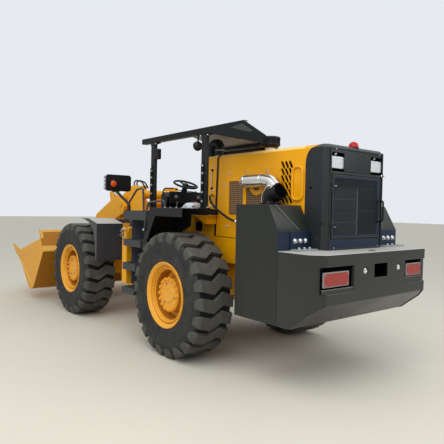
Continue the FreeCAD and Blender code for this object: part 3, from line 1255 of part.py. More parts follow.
def bucket_ear(point, y0, y1, radius):
    """A plate from the bucket's back that carries the pin at a point."""
    dx = BACK_TOP[0] - BACK_LOW[0]
    dz = BACK_TOP[1] - BACK_LOW[1]
    length = math.hypot(dx, dz)
    ux, uz = dx / length, dz / length
    along = (point[0] - BACK_LOW[0]) * ux + (point[1] - BACK_LOW[1]) * uz
    foot = (BACK_LOW[0] + along * ux + EAR_SINK * uz, BACK_LOW[1] + along * uz - EAR_SINK * ux)
    spread = 2 * radius
    outline = [(foot[0] + spread * ux, foot[1] + spread * uz),
               (point[0] + radius * ux, point[1] + radius * uz),
               (point[0] - radius * ux, point[1] - radius * uz),
               (foot[0] - spread * ux, foot[1] - spread * uz)]
    return side_prism(outline, y0, y1).fuse(boss(point, y0, y1, radius))


def bucket():
    """Shell, side plates, the ears at both pins and the boom's two pins."""
    inner = offset_line(BUCKET_LINE, BUCKET_PLATE)
    shell = side_prism(list(BUCKET_LINE) + inner[::-1], -BUCKET_HALF, BUCKET_HALF)
    cheek = list(BUCKET_LINE[:-1]) + [BUCKET_MOUTH]
    pieces = [shell]
    ear_in = BOOM_Y - EYE_GAP
    ear_out = BOOM_OUT + EYE_GAP
    link_ear = LINK_HALF + EYE_GAP
    for side in (1, -1):
        low, high = side_span(side, BUCKET_HALF - BUCKET_PLATE, BUCKET_HALF)
        pieces.append(side_prism(cheek, low, high))
        for near in (ear_in - EAR_PLATE, ear_out):
            low, high = side_span(side, near, near + EAR_PLATE)
            pieces.append(bucket_ear(BUCKET_PIN, low, high, EAR_R))
        low, high = side_span(side, ear_in - EAR_PLATE - EAR_PROUD, ear_out + EAR_PLATE + EAR_PROUD)
        pieces.append(boss(BUCKET_PIN, low, high, BUCKET_PIN_R))
        low, high = side_span(side, link_ear, link_ear + EAR_PLATE)
        pieces.append(bucket_ear(LINK_EYE, low, high, LINK_EYE_R + 5))
    return fuse(pieces)


def cylinder_pair(base, eye, normal, sizes):
    """Barrel and rod of one hydraulic cylinder, between its base pin and its rod's eye."""
    length, barrel_r, rod_r, tail, floor_at, eye_r, width, pin_r = sizes
    direction = (eye - base)
    direction.normalize()
    half = normal * (width / 2)
    start = pin_r + BASE_GAP
    barrel = Part.makeCylinder(barrel_r, length - start, base + direction * start, direction)
    collar = Part.makeCylinder(barrel_r + COLLAR_PROUD, COLLAR, base + direction * (length - COLLAR),
                               direction)
    barrel = fuse([barrel, collar, Part.makeCylinder(eye_r, width, base - half, normal)])
    barrel = cut(barrel, [
        Part.makeCylinder(rod_r + FIT_GAP, length, base + direction * floor_at, direction),
        Part.makeCylinder(pin_r + FIT_GAP, width + 2, base - half - normal, normal)])
    reach = (eye - base).Length
    piston = Part.makeCylinder(rod_r, reach - tail, base + direction * tail, direction)
    end = Part.makeCylinder(eye_r, width, eye - half, normal)
    return barrel, fuse([piston, end])


def lift_cylinder(side):
    base = vec(LIFT_BASE[0], side * LIFT_Y, LIFT_BASE[1])
    eye = vec(LIFT_EYE[0], side * LIFT_Y, LIFT_EYE[1])
    return cylinder_pair(base, eye, vec(0, 1, 0), LIFT_SIZES)


def tilt_cylinder():
    base = vec(BOOM_PIVOT[0], 0, BOOM_PIVOT[1])
    eye = vec(CRANK_TOP[0], 0, CRANK_TOP[1])
    return cylinder_pair(base, eye, vec(0, 1, 0), TILT_SIZES)


def steer_cylinder(side):
    base = vec(PIVOT_X - STEER_BACK, side * STEER_Y_BASE, STEER_Z)
    eye = vec(PIVOT_X, side * STEER_Y_EYE, STEER_Z)
    return cylinder_pair(base, eye, vec(0, 0, 1), STEER_SIZES)


def pieces():
    lift = {"left": lift_cylinder(1), "right": lift_cylinder(-1)}
    steer = {"left": steer_cylinder(1), "right": steer_cylinder(-1)}
    tilt = tilt_cylinder()
    table = {
        "rear_frame": rear_frame(), "rear_axle": axle(0), "engine_block": engine_block(),
        "gearbox": gearbox(), "rear_shafts": rear_shafts(), "counterweight": counterweight(),
        "wing_boxes": both_sides(wing()), "wing_brackets": both_sides(wing_bracket()),
        "hood": hood(), "hood_mesh": hood_mesh(), "hood_hose": hood_hose(), "radiator": radiator(),
        "rear_cowl": rear_cowl(), "grille_door": grille_door(), "work_lamps": work_lamps(),
        "beacon": beacon(), "precleaner": precleaner(), "exhaust": exhaust(),
        "lower_body": lower_body(), "floor": floor(), "side_steps": both_sides(side_steps()),
        "side_tanks": both_sides(side_tank()), "rear_fenders": both_sides(rear_fender()),
        "seat": seat(), "dash": dash(), "steering_wheel": steering_wheel(),
        "canopy_roof": canopy_roof(), "canopy_posts": canopy_posts(), "handrails": handrails(),
        "lamp_units": both_sides(lamp_unit()),
        "front_frame": front_frame(), "front_axle": axle(WHEELBASE), "front_shaft": front_shaft(),
        "mudguards": both_sides(mudguard()), "boom": boom(), "bell_crank": bell_crank(),
        "tilt_link": tilt_link(), "bucket": bucket(), "tilt_barrel": tilt[0], "tilt_rod": tilt[1],
    }
    for side, (barrel, piston) in lift.items():
        table["lift_barrel_" + side] = barrel
        table["lift_rod_" + side] = piston
    for side, (barrel, piston) in steer.items():
        table["steer_barrel_" + side] = barrel
        table["steer_rod_" + side] = piston
    for end, x in (("rear", 0.0), ("front", WHEELBASE)):
        for side, y in (("left", WHEEL_Y), ("right", -WHEEL_Y)):
            table["tyre_%s_%s" % (end, side)] = tyre(x, y)
            table["rim_%s_%s" % (end, side)] = rim(x, y)
    return table


def main():
    os.makedirs("parts", exist_ok=True)
    for name, shape in pieces().items():
        placed = shape.copy()
        placed.translate(vec(ORIGIN_SHIFT, 0, 0))
        placed.exportStep("parts/%s.step" % name)


main()
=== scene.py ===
import logging
import math
from dataclasses import dataclass
from enum import Enum
from typing import Mapping, Optional, Sequence, Union

import bmesh
import bpy
from mathutils import Matrix, Vector, noise


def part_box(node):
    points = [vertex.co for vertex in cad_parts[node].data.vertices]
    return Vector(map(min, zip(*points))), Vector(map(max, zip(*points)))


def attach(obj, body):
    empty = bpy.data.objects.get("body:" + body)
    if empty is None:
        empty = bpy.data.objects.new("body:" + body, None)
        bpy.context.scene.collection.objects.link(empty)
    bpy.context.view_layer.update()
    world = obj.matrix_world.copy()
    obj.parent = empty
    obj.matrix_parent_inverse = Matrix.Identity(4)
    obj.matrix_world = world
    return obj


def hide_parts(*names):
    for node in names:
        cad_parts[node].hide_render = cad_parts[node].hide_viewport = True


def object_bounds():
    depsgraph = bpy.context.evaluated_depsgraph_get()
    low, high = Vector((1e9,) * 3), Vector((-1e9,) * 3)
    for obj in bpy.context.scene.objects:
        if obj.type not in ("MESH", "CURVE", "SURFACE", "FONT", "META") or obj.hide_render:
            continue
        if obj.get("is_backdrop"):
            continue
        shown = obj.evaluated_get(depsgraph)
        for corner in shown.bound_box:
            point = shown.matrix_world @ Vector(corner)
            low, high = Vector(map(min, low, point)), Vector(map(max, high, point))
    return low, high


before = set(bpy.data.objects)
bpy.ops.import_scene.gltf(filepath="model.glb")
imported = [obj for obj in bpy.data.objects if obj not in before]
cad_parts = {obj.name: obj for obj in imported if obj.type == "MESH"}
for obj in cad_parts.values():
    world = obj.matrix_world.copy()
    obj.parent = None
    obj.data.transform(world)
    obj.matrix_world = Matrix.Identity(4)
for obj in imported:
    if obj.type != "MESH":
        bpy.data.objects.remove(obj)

LOG = logging.getLogger("loader")
Point = tuple[float, float, float]
Pair = tuple[float, float]
Value = Union[float, Sequence[float], bpy.types.NodeSocket]

# Stations are millimetres forward of the rear axle, left of the centre plane and above the ground
REAR_AXLE_X: float = sum(corner.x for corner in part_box("tyre_rear_left")) / 2
WHEELBASE: float = 2600.0
WHEEL_Y: float = 877.5
AXLE_Z: float = 665.0


def place(x: float, y: float, z: float) -> Vector:
    """The point of a station in millimetres, in the row's frame in metres."""
    return Vector((REAR_AXLE_X + x / 1000, y / 1000, z / 1000))


def linear(hex_code: str) -> tuple[float, float, float, float]:
    """Turns an sRGB hex colour to linear light.

    Args:
        hex_code: Six hex digits, with or without a leading #.

    Returns:
        Linear red, green, blue and an alpha of 1.
    """
    digits = hex_code.lstrip("#")
    parts = [int(digits[i:i + 2], 16) / 255 for i in (0, 2, 4)]
    light = [p / 12.92 if p <= 0.04045 else ((p + 0.055) / 1.055) ** 2.4 for p in parts]
    return (light[0], light[1], light[2], 1.0)


def add_node(
    tree: bpy.types.NodeTree,
    kind: str,
    links: Optional[Mapping[Union[str, int], Value]] = None,
    **settings: object,
) -> bpy.types.Node:
    """Adds one shader node.

    Args:
        tree: The material's or world's node tree.
        kind: The node's type name.
        links: Input name or index, with a value or the socket that feeds it.
        **settings: The node's own properties.

    Returns:
        The new node.
    """
    node = tree.nodes.new(kind)
    for key, value in settings.items():
        setattr(node, key, value)
    for key, value in (links or {}).items():
        if isinstance(value, bpy.types.NodeSocket):
            tree.links.new(value, node.inputs[key])
        else:
            node.inputs[key].default_value = value
    return node


def per_metre(size_mm: float) -> float:
    """The pattern scale whose features are about size_mm across."""
    return 1000.0 / size_mm


class Wear(Enum):
    """How much shop dust lies on a finish."""

    CLEAN = 0.0
    LIGHT = 0.10
    DUSTY = 0.24


@dataclass(frozen=True)
class Finish:
    """A surface: what it is made of and how it was made.

    The colour drifts by `mottle` over patches of `patch_mm`, and the skin is broken by
    a fine relief of `grain_mm`, whose height in millimetres is `relief_mm`.
    """

    name: str
    colour: str
    roughness: float
    metallic: float = 0.0
    coat: float = 0.0
    ior: float = 1.36
    patch_mm: float = 420.0
    mottle: float = 0.06
    grain_mm: float = 9.0
    relief_mm: float = 0.12
    stretch: Point = (1.0, 1.0, 1.0)
    wear: Wear = Wear.LIGHT
    dust: str = "#8f897b"

    def base(self) -> tuple[bpy.types.Material, bpy.types.Node, dict[str, bpy.types.Node]]:
        """Makes the material with its shader and shared patterns.

        Returns:
            The material, its shader and the named pattern nodes.
        """
        material = bpy.data.materials.new(self.name)
        material.use_nodes = True
        tree = material.node_tree
        shader = tree.nodes["Principled BSDF"]
        shader.inputs["Metallic"].default_value = self.metallic
        shader.inputs["Coat Weight"].default_value = self.coat
        shader.inputs["Coat Roughness"].default_value = 0.12
        if self.metallic < 0.5:
            shader.inputs["IOR"].default_value = self.ior
        where = add_node(tree, "ShaderNodeTexCoord").outputs["Object"]
        stretched = add_node(tree, "ShaderNodeMapping", {"Vector": where, "Scale": self.stretch}).outputs[0]
        patches = add_node(tree, "ShaderNodeTexNoise", {
            "Vector": stretched, "Scale": per_metre(self.patch_mm), "Detail": 4.0, "Roughness": 0.55})
        grain = add_node(tree, "ShaderNodeTexNoise", {
            "Vector": stretched, "Scale": per_metre(self.grain_mm), "Detail": 2.0})
        return material, shader, {"where": where, "patches": patches, "grain": grain}

    def build(self) -> bpy.types.Material:
        """Makes the finished material.

        Returns:
            A material with drifting colour, dust on what faces up, and a fine relief.
        """
        material, shader, parts = self.base()
        tree = material.node_tree
        dark = [c * (1 - self.mottle) for c in linear(self.colour)[:3]] + [1.0]
        pale = [min(1.0, c * (1 + self.mottle)) for c in linear(self.colour)[:3]] + [1.0]
        drift = add_node(tree, "ShaderNodeMix", {
            "Factor": parts["patches"].outputs["Fac"], 6: dark, 7: pale}, data_type="RGBA")
        colour = self.overlay(tree, parts, drift.outputs[2])
        facing = add_node(tree, "ShaderNodeSeparateXYZ", {
            0: add_node(tree, "ShaderNodeNewGeometry").outputs["Normal"]}).outputs["Z"]
        upward = add_node(tree, "ShaderNodeMapRange", {
            "Value": facing, "From Min": 0.2, "From Max": 1.0, "To Max": self.wear.value + 0.02})
        settled = add_node(tree, "ShaderNodeMath", {
            0: upward.outputs[0], 1: parts["patches"].outputs["Fac"]}, operation="MULTIPLY")
        doubled = add_node(tree, "ShaderNodeMath", {0: settled.outputs[0], 1: 2.0}, operation="MULTIPLY")
        dusted = add_node(tree, "ShaderNodeMix", {
            "Factor": doubled.outputs[0], 6: colour, 7: linear(self.dust)}, data_type="RGBA")
        tree.links.new(dusted.outputs[2], shader.inputs["Base Color"])
        rough = add_node(tree, "ShaderNodeMapRange", {
            "Value": parts["patches"].outputs["Fac"], "From Min": 0.3, "From Max": 0.7,
            "To Min": max(0.02, self.roughness * 0.88), "To Max": min(1.0, self.roughness * 1.12)})
        tree.links.new(rough.outputs[0], shader.inputs["Roughness"])
        bump = add_node(tree, "ShaderNodeBump", {
            "Height": self.height(tree, parts), "Distance": self.relief_mm / 1000, "Strength": 0.6})
        tree.links.new(bump.outputs[0], shader.inputs["Normal"])
        return material

    def overlay(self, tree: bpy.types.NodeTree, parts: Mapping[str, bpy.types.Node],
                colour: bpy.types.NodeSocket) -> bpy.types.NodeSocket:
        """Lays a second colour over the first; a plain finish has none."""
        return colour

    def height(self, tree: bpy.types.NodeTree,
               parts: Mapping[str, bpy.types.Node]) -> bpy.types.NodeSocket:
        """The relief's height, from 0 to 1."""
        return parts["grain"].outputs["Fac"]


@dataclass(frozen=True)
class PunchedPlate(Finish):
    """Plate punched with round holes, in staggered rows `pitch_mm` apart."""

    pitch_mm: float = 14.0
    hole_share: float = 0.30
    # Colour of each hole: painted shade
    behind: str = "#15130f"

    def overlay(self, tree: bpy.types.NodeTree, parts: Mapping[str, bpy.types.Node],
                colour: bpy.types.NodeSocket) -> bpy.types.NodeSocket:
        """Darkens each hole with painted shade, for the dark space behind the plate."""
        holes = add_node(tree, "ShaderNodeTexVoronoi", {
            "Vector": parts["where"], "Scale": per_metre(self.pitch_mm), "Randomness": 0.0})
        edge = add_node(tree, "ShaderNodeMapRange", {
            "Value": holes.outputs["Distance"], "From Min": self.hole_share,
            "From Max": self.hole_share + 0.08})
        mixed = add_node(tree, "ShaderNodeMix", {
            "Factor": edge.outputs[0], 6: linear(self.behind), 7: colour}, data_type="RGBA")
        return mixed.outputs[2]


@dataclass(frozen=True)
class Brushed(Finish):
    """Metal drawn, ground or polished along one direction, so its grain is long."""

    grain_mm: float = 4.0
    stretch: Point = (0.08, 1.0, 1.0)
    relief_mm: float = 0.03
    wear: Wear = Wear.CLEAN


@dataclass(frozen=True)
class TreadRubber(Finish):
    """Carbon-black rubber out of a steel mould: dull, with a pale bloom where it was handled."""

    bloom: str = "#5a5a55"

    def overlay(self, tree: bpy.types.NodeTree, parts: Mapping[str, bpy.types.Node],
                colour: bpy.types.NodeSocket) -> bpy.types.NodeSocket:
        """Adds the bloom in soft smears a hand's width across."""
        smears = add_node(tree, "ShaderNodeTexNoise", {
            "Vector": parts["where"], "Scale": per_metre(95.0), "Detail": 6.0, "Roughness": 0.7})
        share = add_node(tree, "ShaderNodeMapRange", {
            "Value": smears.outputs["Fac"], "From Min": 0.42, "From Max": 0.78, "To Max": 0.6})
        mixed = add_node(tree, "ShaderNodeMix", {
            "Factor": share.outputs[0], 6: colour, 7: linear(self.bloom)}, data_type="RGBA")
        return mixed.outputs[2]


@dataclass(frozen=True)
class CastSurface(Finish):
    """Iron poured in a sand mould, whose sand leaves a rough pebbled skin."""

    grain_mm: float = 6.0
    relief_mm: float = 0.5

    def height(self, tree: bpy.types.NodeTree,
               parts: Mapping[str, bpy.types.Node]) -> bpy.types.NodeSocket:
        """Pebbles as cells, drawn at 6 mm, coarser than sand, so that they show."""
        cells = add_node(tree, "ShaderNodeTexVoronoi", {
            "Vector": parts["where"], "Scale": per_metre(self.grain_mm)}, feature="SMOOTH_F1")
        return cells.outputs["Distance"]


@dataclass(frozen=True)
class CrumpledFilm(Finish):
    """Thin clear polythene over a dark cushion: milky where it lies in folds."""

    under: str = "#2d3034"

    def overlay(self, tree: bpy.types.NodeTree, parts: Mapping[str, bpy.types.Node],
                colour: bpy.types.NodeSocket) -> bpy.types.NodeSocket:
        """Lets the dark cushion show between the milky folds."""
        folds = add_node(tree, "ShaderNodeTexNoise", {
            "Vector": parts["where"], "Scale": per_metre(70.0), "Detail": 5.0,
            "Roughness": 0.7, "Distortion": 1.6})
        share = add_node(tree, "ShaderNodeMapRange", {
            "Value": folds.outputs["Fac"], "From Min": 0.36, "From Max": 0.52})
        mixed = add_node(tree, "ShaderNodeMix", {
            "Factor": share.outputs[0], 6: linear(self.under), 7: colour}, data_type="RGBA")
        return mixed.outputs[2]

    def height(self, tree: bpy.types.NodeTree,
               parts: Mapping[str, bpy.types.Node]) -> bpy.types.NodeSocket:
        """Creases 25 mm apart where the film was gathered by hand."""
        creases = add_node(tree, "ShaderNodeTexVoronoi", {
            "Vector": parts["where"], "Scale": per_metre(25.0)}, feature="DISTANCE_TO_EDGE")
        return creases.outputs["Distance"]


@dataclass(frozen=True)
class ClearPlastic(Finish):
    """Moulded lens of clear or tinted polycarbonate."""

    clearness: float = 0.8

    def build(self) -> bpy.types.Material:
        """Makes the lens, which passes light.

        Returns:
            A material with transmission and a smooth face.
        """
        material = super().build()
        shader = material.node_tree.nodes["Principled BSDF"]
        shader.inputs["Transmission Weight"].default_value = self.clearness
        return material


# Sprayed enamel on steel plate: a smooth skin with a slight orange peel; the darker rim yellow is painted shade for the
# rim's inner barrel
YELLOW = Finish("yellow_enamel", "#e8a208", 0.36, coat=0.1, mottle=0.03, grain_mm=14.0)
RIM_SHADE = Finish("rim_painted_shade", "#b1741a", 0.5, wear=Wear.CLEAN)
RIM_YELLOW = Finish("rim_enamel", "#e6a22f", 0.42, coat=0.1, mottle=0.04, wear=Wear.CLEAN)
# Textured grey coat: flatter, and its grain scatters the light
GREY = Finish("grey_coat", "#2f3232", 0.5, mottle=0.08, grain_mm=5.0, relief_mm=0.2)
WING_GREY = Finish("wing_grey_coat", "#232623", 0.4, coat=0.15, mottle=0.05, grain_mm=6.0)
CAST_GREY = CastSurface("painted_sand_casting", "#2b2c2a", 0.4, coat=0.2, mottle=0.05, relief_mm=0.15, wear=Wear.DUSTY)
COWL_GREY = Finish("cowl_grey_coat", "#25282a", 0.34, coat=0.2, mottle=0.05, grain_mm=7.0)
NAVY = Finish("navy_coat", "#16253b", 0.42, mottle=0.05, grain_mm=7.0)
# Pale grey: the weld line down the wing boxes, and painted highlight along the counterweight's ledges
CAST_PALE = Finish("pale_grey_weld_and_highlight", "#6e706c", 0.5, mottle=0.04)
PLATE_EDGE = Finish("pale_grey_coat", "#8b9093", 0.45, mottle=0.05)
BARS_GREY = Finish("radiator_guard_coat", "#5c6064", 0.5)
BLACK_COAT = Finish("black_coat", "#191b1d", 0.45, mottle=0.1, grain_mm=6.0)
ROOF_COAT = Finish("roof_black_coat", "#0b0c0f", 0.42, coat=0.05, mottle=0.06)
UNDERSIDE = Finish("roof_lining_grey", "#b4b4ab", 0.6, mottle=0.08)
# Grey on the roof's black cheek: painted highlight
CHEEK_HIGHLIGHT_GREY = Finish("cheek_painted_highlight", "#3c3e3d", 0.5)
RAIL_GREY = Finish("rail_grey_coat", "#33363a", 0.35, coat=0.2)
STEP_GREY = Finish("step_grey_coat", "#3a3d40", 0.5, mottle=0.08)
# Paler than the steps' grey: painted light that lifts the hanger out of its shade
LIT_HANGER_GREY = Finish("hanger_grey_painted_light", "#5c6068", 0.42, mottle=0.05)
FENDER_GREY = Finish("fender_grey_coat", "#1a1b1c", 0.45, mottle=0.06)
GUARD_GREY = Finish("guard_grey_coat", "#31373d", 0.3, coat=0.5, mottle=0.05)
# Pale grey for faces that look up: painted highlight
HIGHLIGHT_TOP_GREY = Finish("top_painted_highlight", "#b0afab", 0.45, mottle=0.1)
# Pale grey along the guards' rolled edge: painted highlight
GUARD_EDGE = Finish("rolled_edge_highlight", "#5d6163", 0.4)
RIB_BLACK = Finish("tread_strip_rubber", "#191a1b", 0.7)
# Bucket yellow darkened for faces that look back: painted shade
SHADED_BUCKET_YELLOW = Finish("bucket_painted_shade", "#a66c08", 0.5, mottle=0.05, patch_mm=300.0)
BUCKET_YELLOW = Finish("bucket_enamel", "#e6a63a", 0.5, mottle=0.05, patch_mm=300.0)
# Pale yellow on the bonnet's top chamfer and the column's top: painted highlight
HIGHLIGHT_YELLOW = Finish("yellow_painted_highlight", "#efc466", 0.4)
EDGE_STEEL = Finish("wear_plate_enamel", "#dea848", 0.55, mottle=0.1, patch_mm=120.0)
BEAD = Finish("weld_bead_enamel", "#e6c78c", 0.5)
PANEL_GREY = Finish("panel_grey_coat", "#15171a", 0.3, coat=0.1)
CORE_GREY = Finish("radiator_core_coat", "#3a4047", 0.5, mottle=0.15, patch_mm=140.0)
# Near-black without gloss: painted shade in pockets, holes, openings, tread floors and behind the grille's mesh; soot
# with painted shade in the exhaust's mouth and elbow
SOOT_AND_SHADE = Finish("soot_and_painted_shade_black", "#060607", 1.0, ior=1.05, wear=Wear.CLEAN)
# Injection-moulded ABS, pebbled by its mould
BLACK_PLASTIC = Finish("moulded_abs", "#101214", 0.4, grain_mm=4.0, relief_mm=0.1, wear=Wear.CLEAN)
HOSE_RUBBER = Finish("extruded_hose_rubber", "#14161a", 0.5, grain_mm=5.0, wear=Wear.CLEAN)
TYRE = TreadRubber("moulded_sidewall_rubber", "#242526", 0.62, grain_mm=7.0, relief_mm=0.25,
                   mottle=0.12, wear=Wear.LIGHT, bloom="#4a4a48")
TYRE_BAR = TreadRubber("moulded_tread_rubber", "#45443f", 0.72, grain_mm=8.0, relief_mm=0.35,
                       mottle=0.12, wear=Wear.LIGHT, bloom="#63635d")
# Near-black for the groove floor between the bars: painted shade
TYRE_GROOVE_SHADE = TreadRubber("groove_painted_shade_rubber", "#141516", 0.85, grain_mm=7.0,
                          wear=Wear.CLEAN, bloom="#1d1d1d")
IRON = CastSurface("sand_cast_iron", "#3a3b3c", 0.62, metallic=0.0)
# Bright zinc plate on pressed bolts, and hard chrome ground true on the rods
ZINC = Brushed("zinc_plate", "#cfd2d4", 0.28, metallic=1.0)
CHROME = Brushed("hard_chrome", "#dfe1e3", 0.12, metallic=1.0)
STAINLESS = Brushed("polished_stainless_tube", "#f2f0ec", 0.2, metallic=1.0)
STEEL = Brushed("rolled_steel", "#8c8d8e", 0.4, metallic=0.9)
# Punched plate in brown, the yellow plate darkened by the shade in its holes, and the holes painted dark: painted shade
MESH_BROWN = PunchedPlate("punched_plate_with_painted_shade", "#8a6a4b", 0.55, pitch_mm=22.0, hole_share=0.32)
MESH_STEEL = Finish("expanded_steel_mesh", "#3e4347", 0.45, metallic=0.4, wear=Wear.CLEAN)
MESH_BLACK = PunchedPlate("punched_plate_black", "#3b3e41", 0.5, pitch_mm=16.0, hole_share=0.36)
RED_PLATE = Finish("red_anodised_plate", "#96332d", 0.35, coat=0.3, wear=Wear.CLEAN)
RED_LENS = ClearPlastic("red_polycarbonate", "#d4161c", 0.15, clearness=0.35, wear=Wear.CLEAN)
AMBER_LENS = ClearPlastic("amber_polycarbonate", "#ee5a12", 0.18, clearness=0.3, wear=Wear.CLEAN)
CLEAR_LENS = ClearPlastic("clear_polycarbonate", "#eef2f4", 0.08, clearness=0.85, mottle=0.0,
                          wear=Wear.CLEAN)
# White: paint on the pre-cleaner's neck, and painted reflection on the rear work lamps' faces
WHITE_PAINT_AND_REFLECTION = Finish("white_enamel_and_painted_reflection", "#f4f6f7", 0.4, wear=Wear.CLEAN)
FILM = CrumpledFilm("polythene_film", "#d6dade", 0.22, relief_mm=2.0, coat=0.4, wear=Wear.CLEAN)


class Shop:
    """Keeps one Blender material for each finish."""

    made: dict[str, bpy.types.Material] = {}

    @classmethod
    def material(cls, finish: Finish) -> bpy.types.Material:
        """The material of a finish, made when it is first asked for."""
        if finish.name not in cls.made:
            cls.made[finish.name] = finish.build()
        return cls.made[finish.name]


class Plane(Enum):
    """The plane an outline is drawn in; the prism runs along the axis left over."""

    SIDE = (0, 2, 1)
    PLAN = (0, 1, 2)
    END = (1, 2, 0)


class Forge:
    """Collects solids, given in station millimetres, and makes one piece of them."""

    def __init__(self, name: str, finish: Finish) -> None:
        """Starts an empty piece.

        Args:
            name: The piece's name.
            finish: The finish of what is added until use() names another.
        """
        self.name = name
        self.whole = bmesh.new()
        self.finishes: list[Finish] = [finish]
        self.index = 0

    def use(self, finish: Finish) -> "Forge":
        """Gives what is added next another finish."""
        if finish not in self.finishes:
            self.finishes.append(finish)
        self.index = self.finishes.index(finish)
        return self

    def add(self, points: Sequence[Vector], faces: Sequence[Sequence[int]], edge: float = 0.0,
            segments: int = 2, angle: float = 30.0) -> "Forge":
        """Adds one closed solid.

        Args:
            points: Corners in the row's frame.
            faces: Corner numbers of each face.
            edge: Width in millimetres that its sharp edges are rounded by.
            segments: Faces across each rounded edge.
            angle: Degrees above which an edge counts as sharp.

        Returns:
            The forge, so that calls can follow each other.
        """
        part = bmesh.new()
        corners = [part.verts.new(p) for p in points]
        for face in faces:
            part.faces.new([corners[i] for i in face])
        bmesh.ops.recalc_face_normals(part, faces=part.faces[:])
        if edge > 0:
            limit = math.radians(angle)
            sharp = [e for e in part.edges if len(e.link_faces) == 2 and e.calc_face_angle(0) > limit]
            bmesh.ops.bevel(part, geom=sharp, offset=edge / 1000, offset_type="OFFSET",
                            segments=segments, profile=0.5, clamp_overlap=True, affect="EDGES")
        for face in part.faces:
            face.material_index = self.index
        scratch = bpy.data.meshes.new("scratch")
        part.to_mesh(scratch)
        part.free()
        self.whole.from_mesh(scratch)
        bpy.data.meshes.remove(scratch)
        return self

    def prism(self, outline: Sequence[Pair], plane: Plane, low: float, high: float,
              edge: float = 2.0, segments: int = 2) -> "Forge":
        """Adds a plate drawn in a plane, from low to high along the axis left over."""
        across, up, along = plane.value
        points: list[Vector] = []
        for level in (low, high):
            for pair in outline:
                station = [0.0, 0.0, 0.0]
                station[across], station[up], station[along] = pair[0], pair[1], level
                points.append(place(*station))
        n = len(outline)
        faces: list[Sequence[int]] = [list(range(n))[::-1], list(range(n, 2 * n))]
        faces += [(i, (i + 1) % n, n + (i + 1) % n, n + i) for i in range(n)]
        return self.add(points, faces, edge, segments)

    def block(self, low: Point, high: Point, edge: float = 2.0, segments: int = 2) -> "Forge":
        """Adds a box between two corners."""
        outline = [(low[0], low[1]), (high[0], low[1]), (high[0], high[1]), (low[0], high[1])]
        return self.prism(outline, Plane.PLAN, low[2], high[2], edge, segments)

    def turned(self, profile: Sequence[Pair], centre: Point, axis: Point, steps: int = 48,
               edge: float = 0.0, closed: bool = False) -> "Forge":
        """Adds a body turned round an axis.

        Args:
            profile: Pairs of distance along the axis and radius.
            centre: The station that the distances are measured from.
            axis: The axis's direction.
            steps: Facets round the axis.
            edge: Width of the rounded edges.
            closed: True where the profile is a closed ring clear of the axis.

        Returns:
            The forge.
        """
        line = Vector(axis).normalized()
        side = line.orthogonal().normalized()
        up = line.cross(side)
        middle = Vector(centre)
        points: list[Vector] = []
        rings: list[list[int]] = []
        for along, radius in profile:
            if radius < 1e-6:
                rings.append([len(points)] * steps)
                points.append(place(*(middle + line * along)))
                continue
            rings.append(list(range(len(points), len(points) + steps)))
            for i in range(steps):
                turn = 2 * math.pi * i / steps
                points.append(place(*(middle + line * along + (
                    side * math.cos(turn) + up * math.sin(turn)) * radius)))
        faces: list[Sequence[int]] = []
        last = len(rings) if closed else len(rings) - 1
        for k in range(last):
            a, b = rings[k], rings[(k + 1) % len(rings)]
            for i in range(steps):
                j = (i + 1) % steps
                loop = list(dict.fromkeys((a[i], a[j], b[j], b[i])))
                if len(loop) > 2:
                    faces.append(loop)
        return self.add(points, faces, edge, angle=35.0)

    def rod(self, start: Point, end: Point, radius: float, steps: int = 24,
            edge: float = 1.5) -> "Forge":
        """Adds a round bar between two stations."""
        axis = Vector(end) - Vector(start)
        profile = [(0.0, 0.0), (0.0, radius), (axis.length, radius), (axis.length, 0.0)]
        return self.turned(profile, start, tuple(axis), steps, edge)

    def pipe(self, points: Sequence[Point], radius: float, bend: float = 40.0,
             sides: int = 14, hollow: float = 0.0) -> "Forge":
        """Adds a bent steel tube.

        Args:
            points: The stations of its corners and ends.
            radius: Its outer radius.
            bend: The radius of its bends.
            sides: Facets round it.
            hollow: Depth of the bore that its far end shows, or 0 for a closed end.

        Returns:
            The forge.
        """
        route = [Vector(p) for p in points]
        line: list[Vector] = [route[0]]
        for i in range(1, len(route) - 1):
            back = (route[i - 1] - route[i])
            ahead = (route[i + 1] - route[i])
            turn = math.pi - back.angle(ahead)
            if turn < 0.02:
                line.append(route[i])
                continue
            reach = min(bend * math.tan(turn / 2), 0.48 * back.length, 0.48 * ahead.length)
            first = route[i] + back.normalized() * reach
            last = route[i] + ahead.normalized() * reach
            for k in range(9):
                t = k / 8
                line.append(first.lerp(route[i], t).lerp(route[i].lerp(last, t), t))
        line.append(route[-1])
        return self.sweep(line, [radius] * len(line), sides, hollow)

    def sweep(self, line: Sequence[Vector], radii: Sequence[float], sides: int = 14,
              hollow: float = 0.0) -> "Forge":
        """Adds a round body along a line, with a radius at each of its points."""
        ring_line = [Vector(p) for p in line]
        widths = list(radii)
        if hollow > 0:
            inward = (ring_line[-2] - ring_line[-1]).normalized()
            ring_line += [ring_line[-1], ring_line[-1] + inward * hollow]
            widths += [widths[-1] * 0.84, widths[-1] * 0.84]
        normal = (ring_line[1] - ring_line[0]).orthogonal().normalized()
        corners: list[Vector] = []
        for i, point in enumerate(ring_line):
            ahead = ring_line[min(i + 1, len(line) - 1)] - ring_line[max(min(i, len(line) - 1) - 1, 0)]
            tangent = ahead.normalized()
            normal = (normal - tangent * normal.dot(tangent)).normalized()
            side = tangent.cross(normal)
            for k in range(sides):
                a = 2 * math.pi * k / sides
                corners.append(place(*(point + (normal * math.cos(a) + side * math.sin(a)) * widths[i])))
        n = len(ring_line)
        faces: list[Sequence[int]] = [list(range(sides)), list(range((n - 1) * sides, n * sides))]
        for i in range(n - 1):
            for k in range(sides):
                j = (k + 1) % sides
                faces.append((i * sides + k, i * sides + j, (i + 1) * sides + j, (i + 1) * sides + k))
        return self.add(corners, faces)

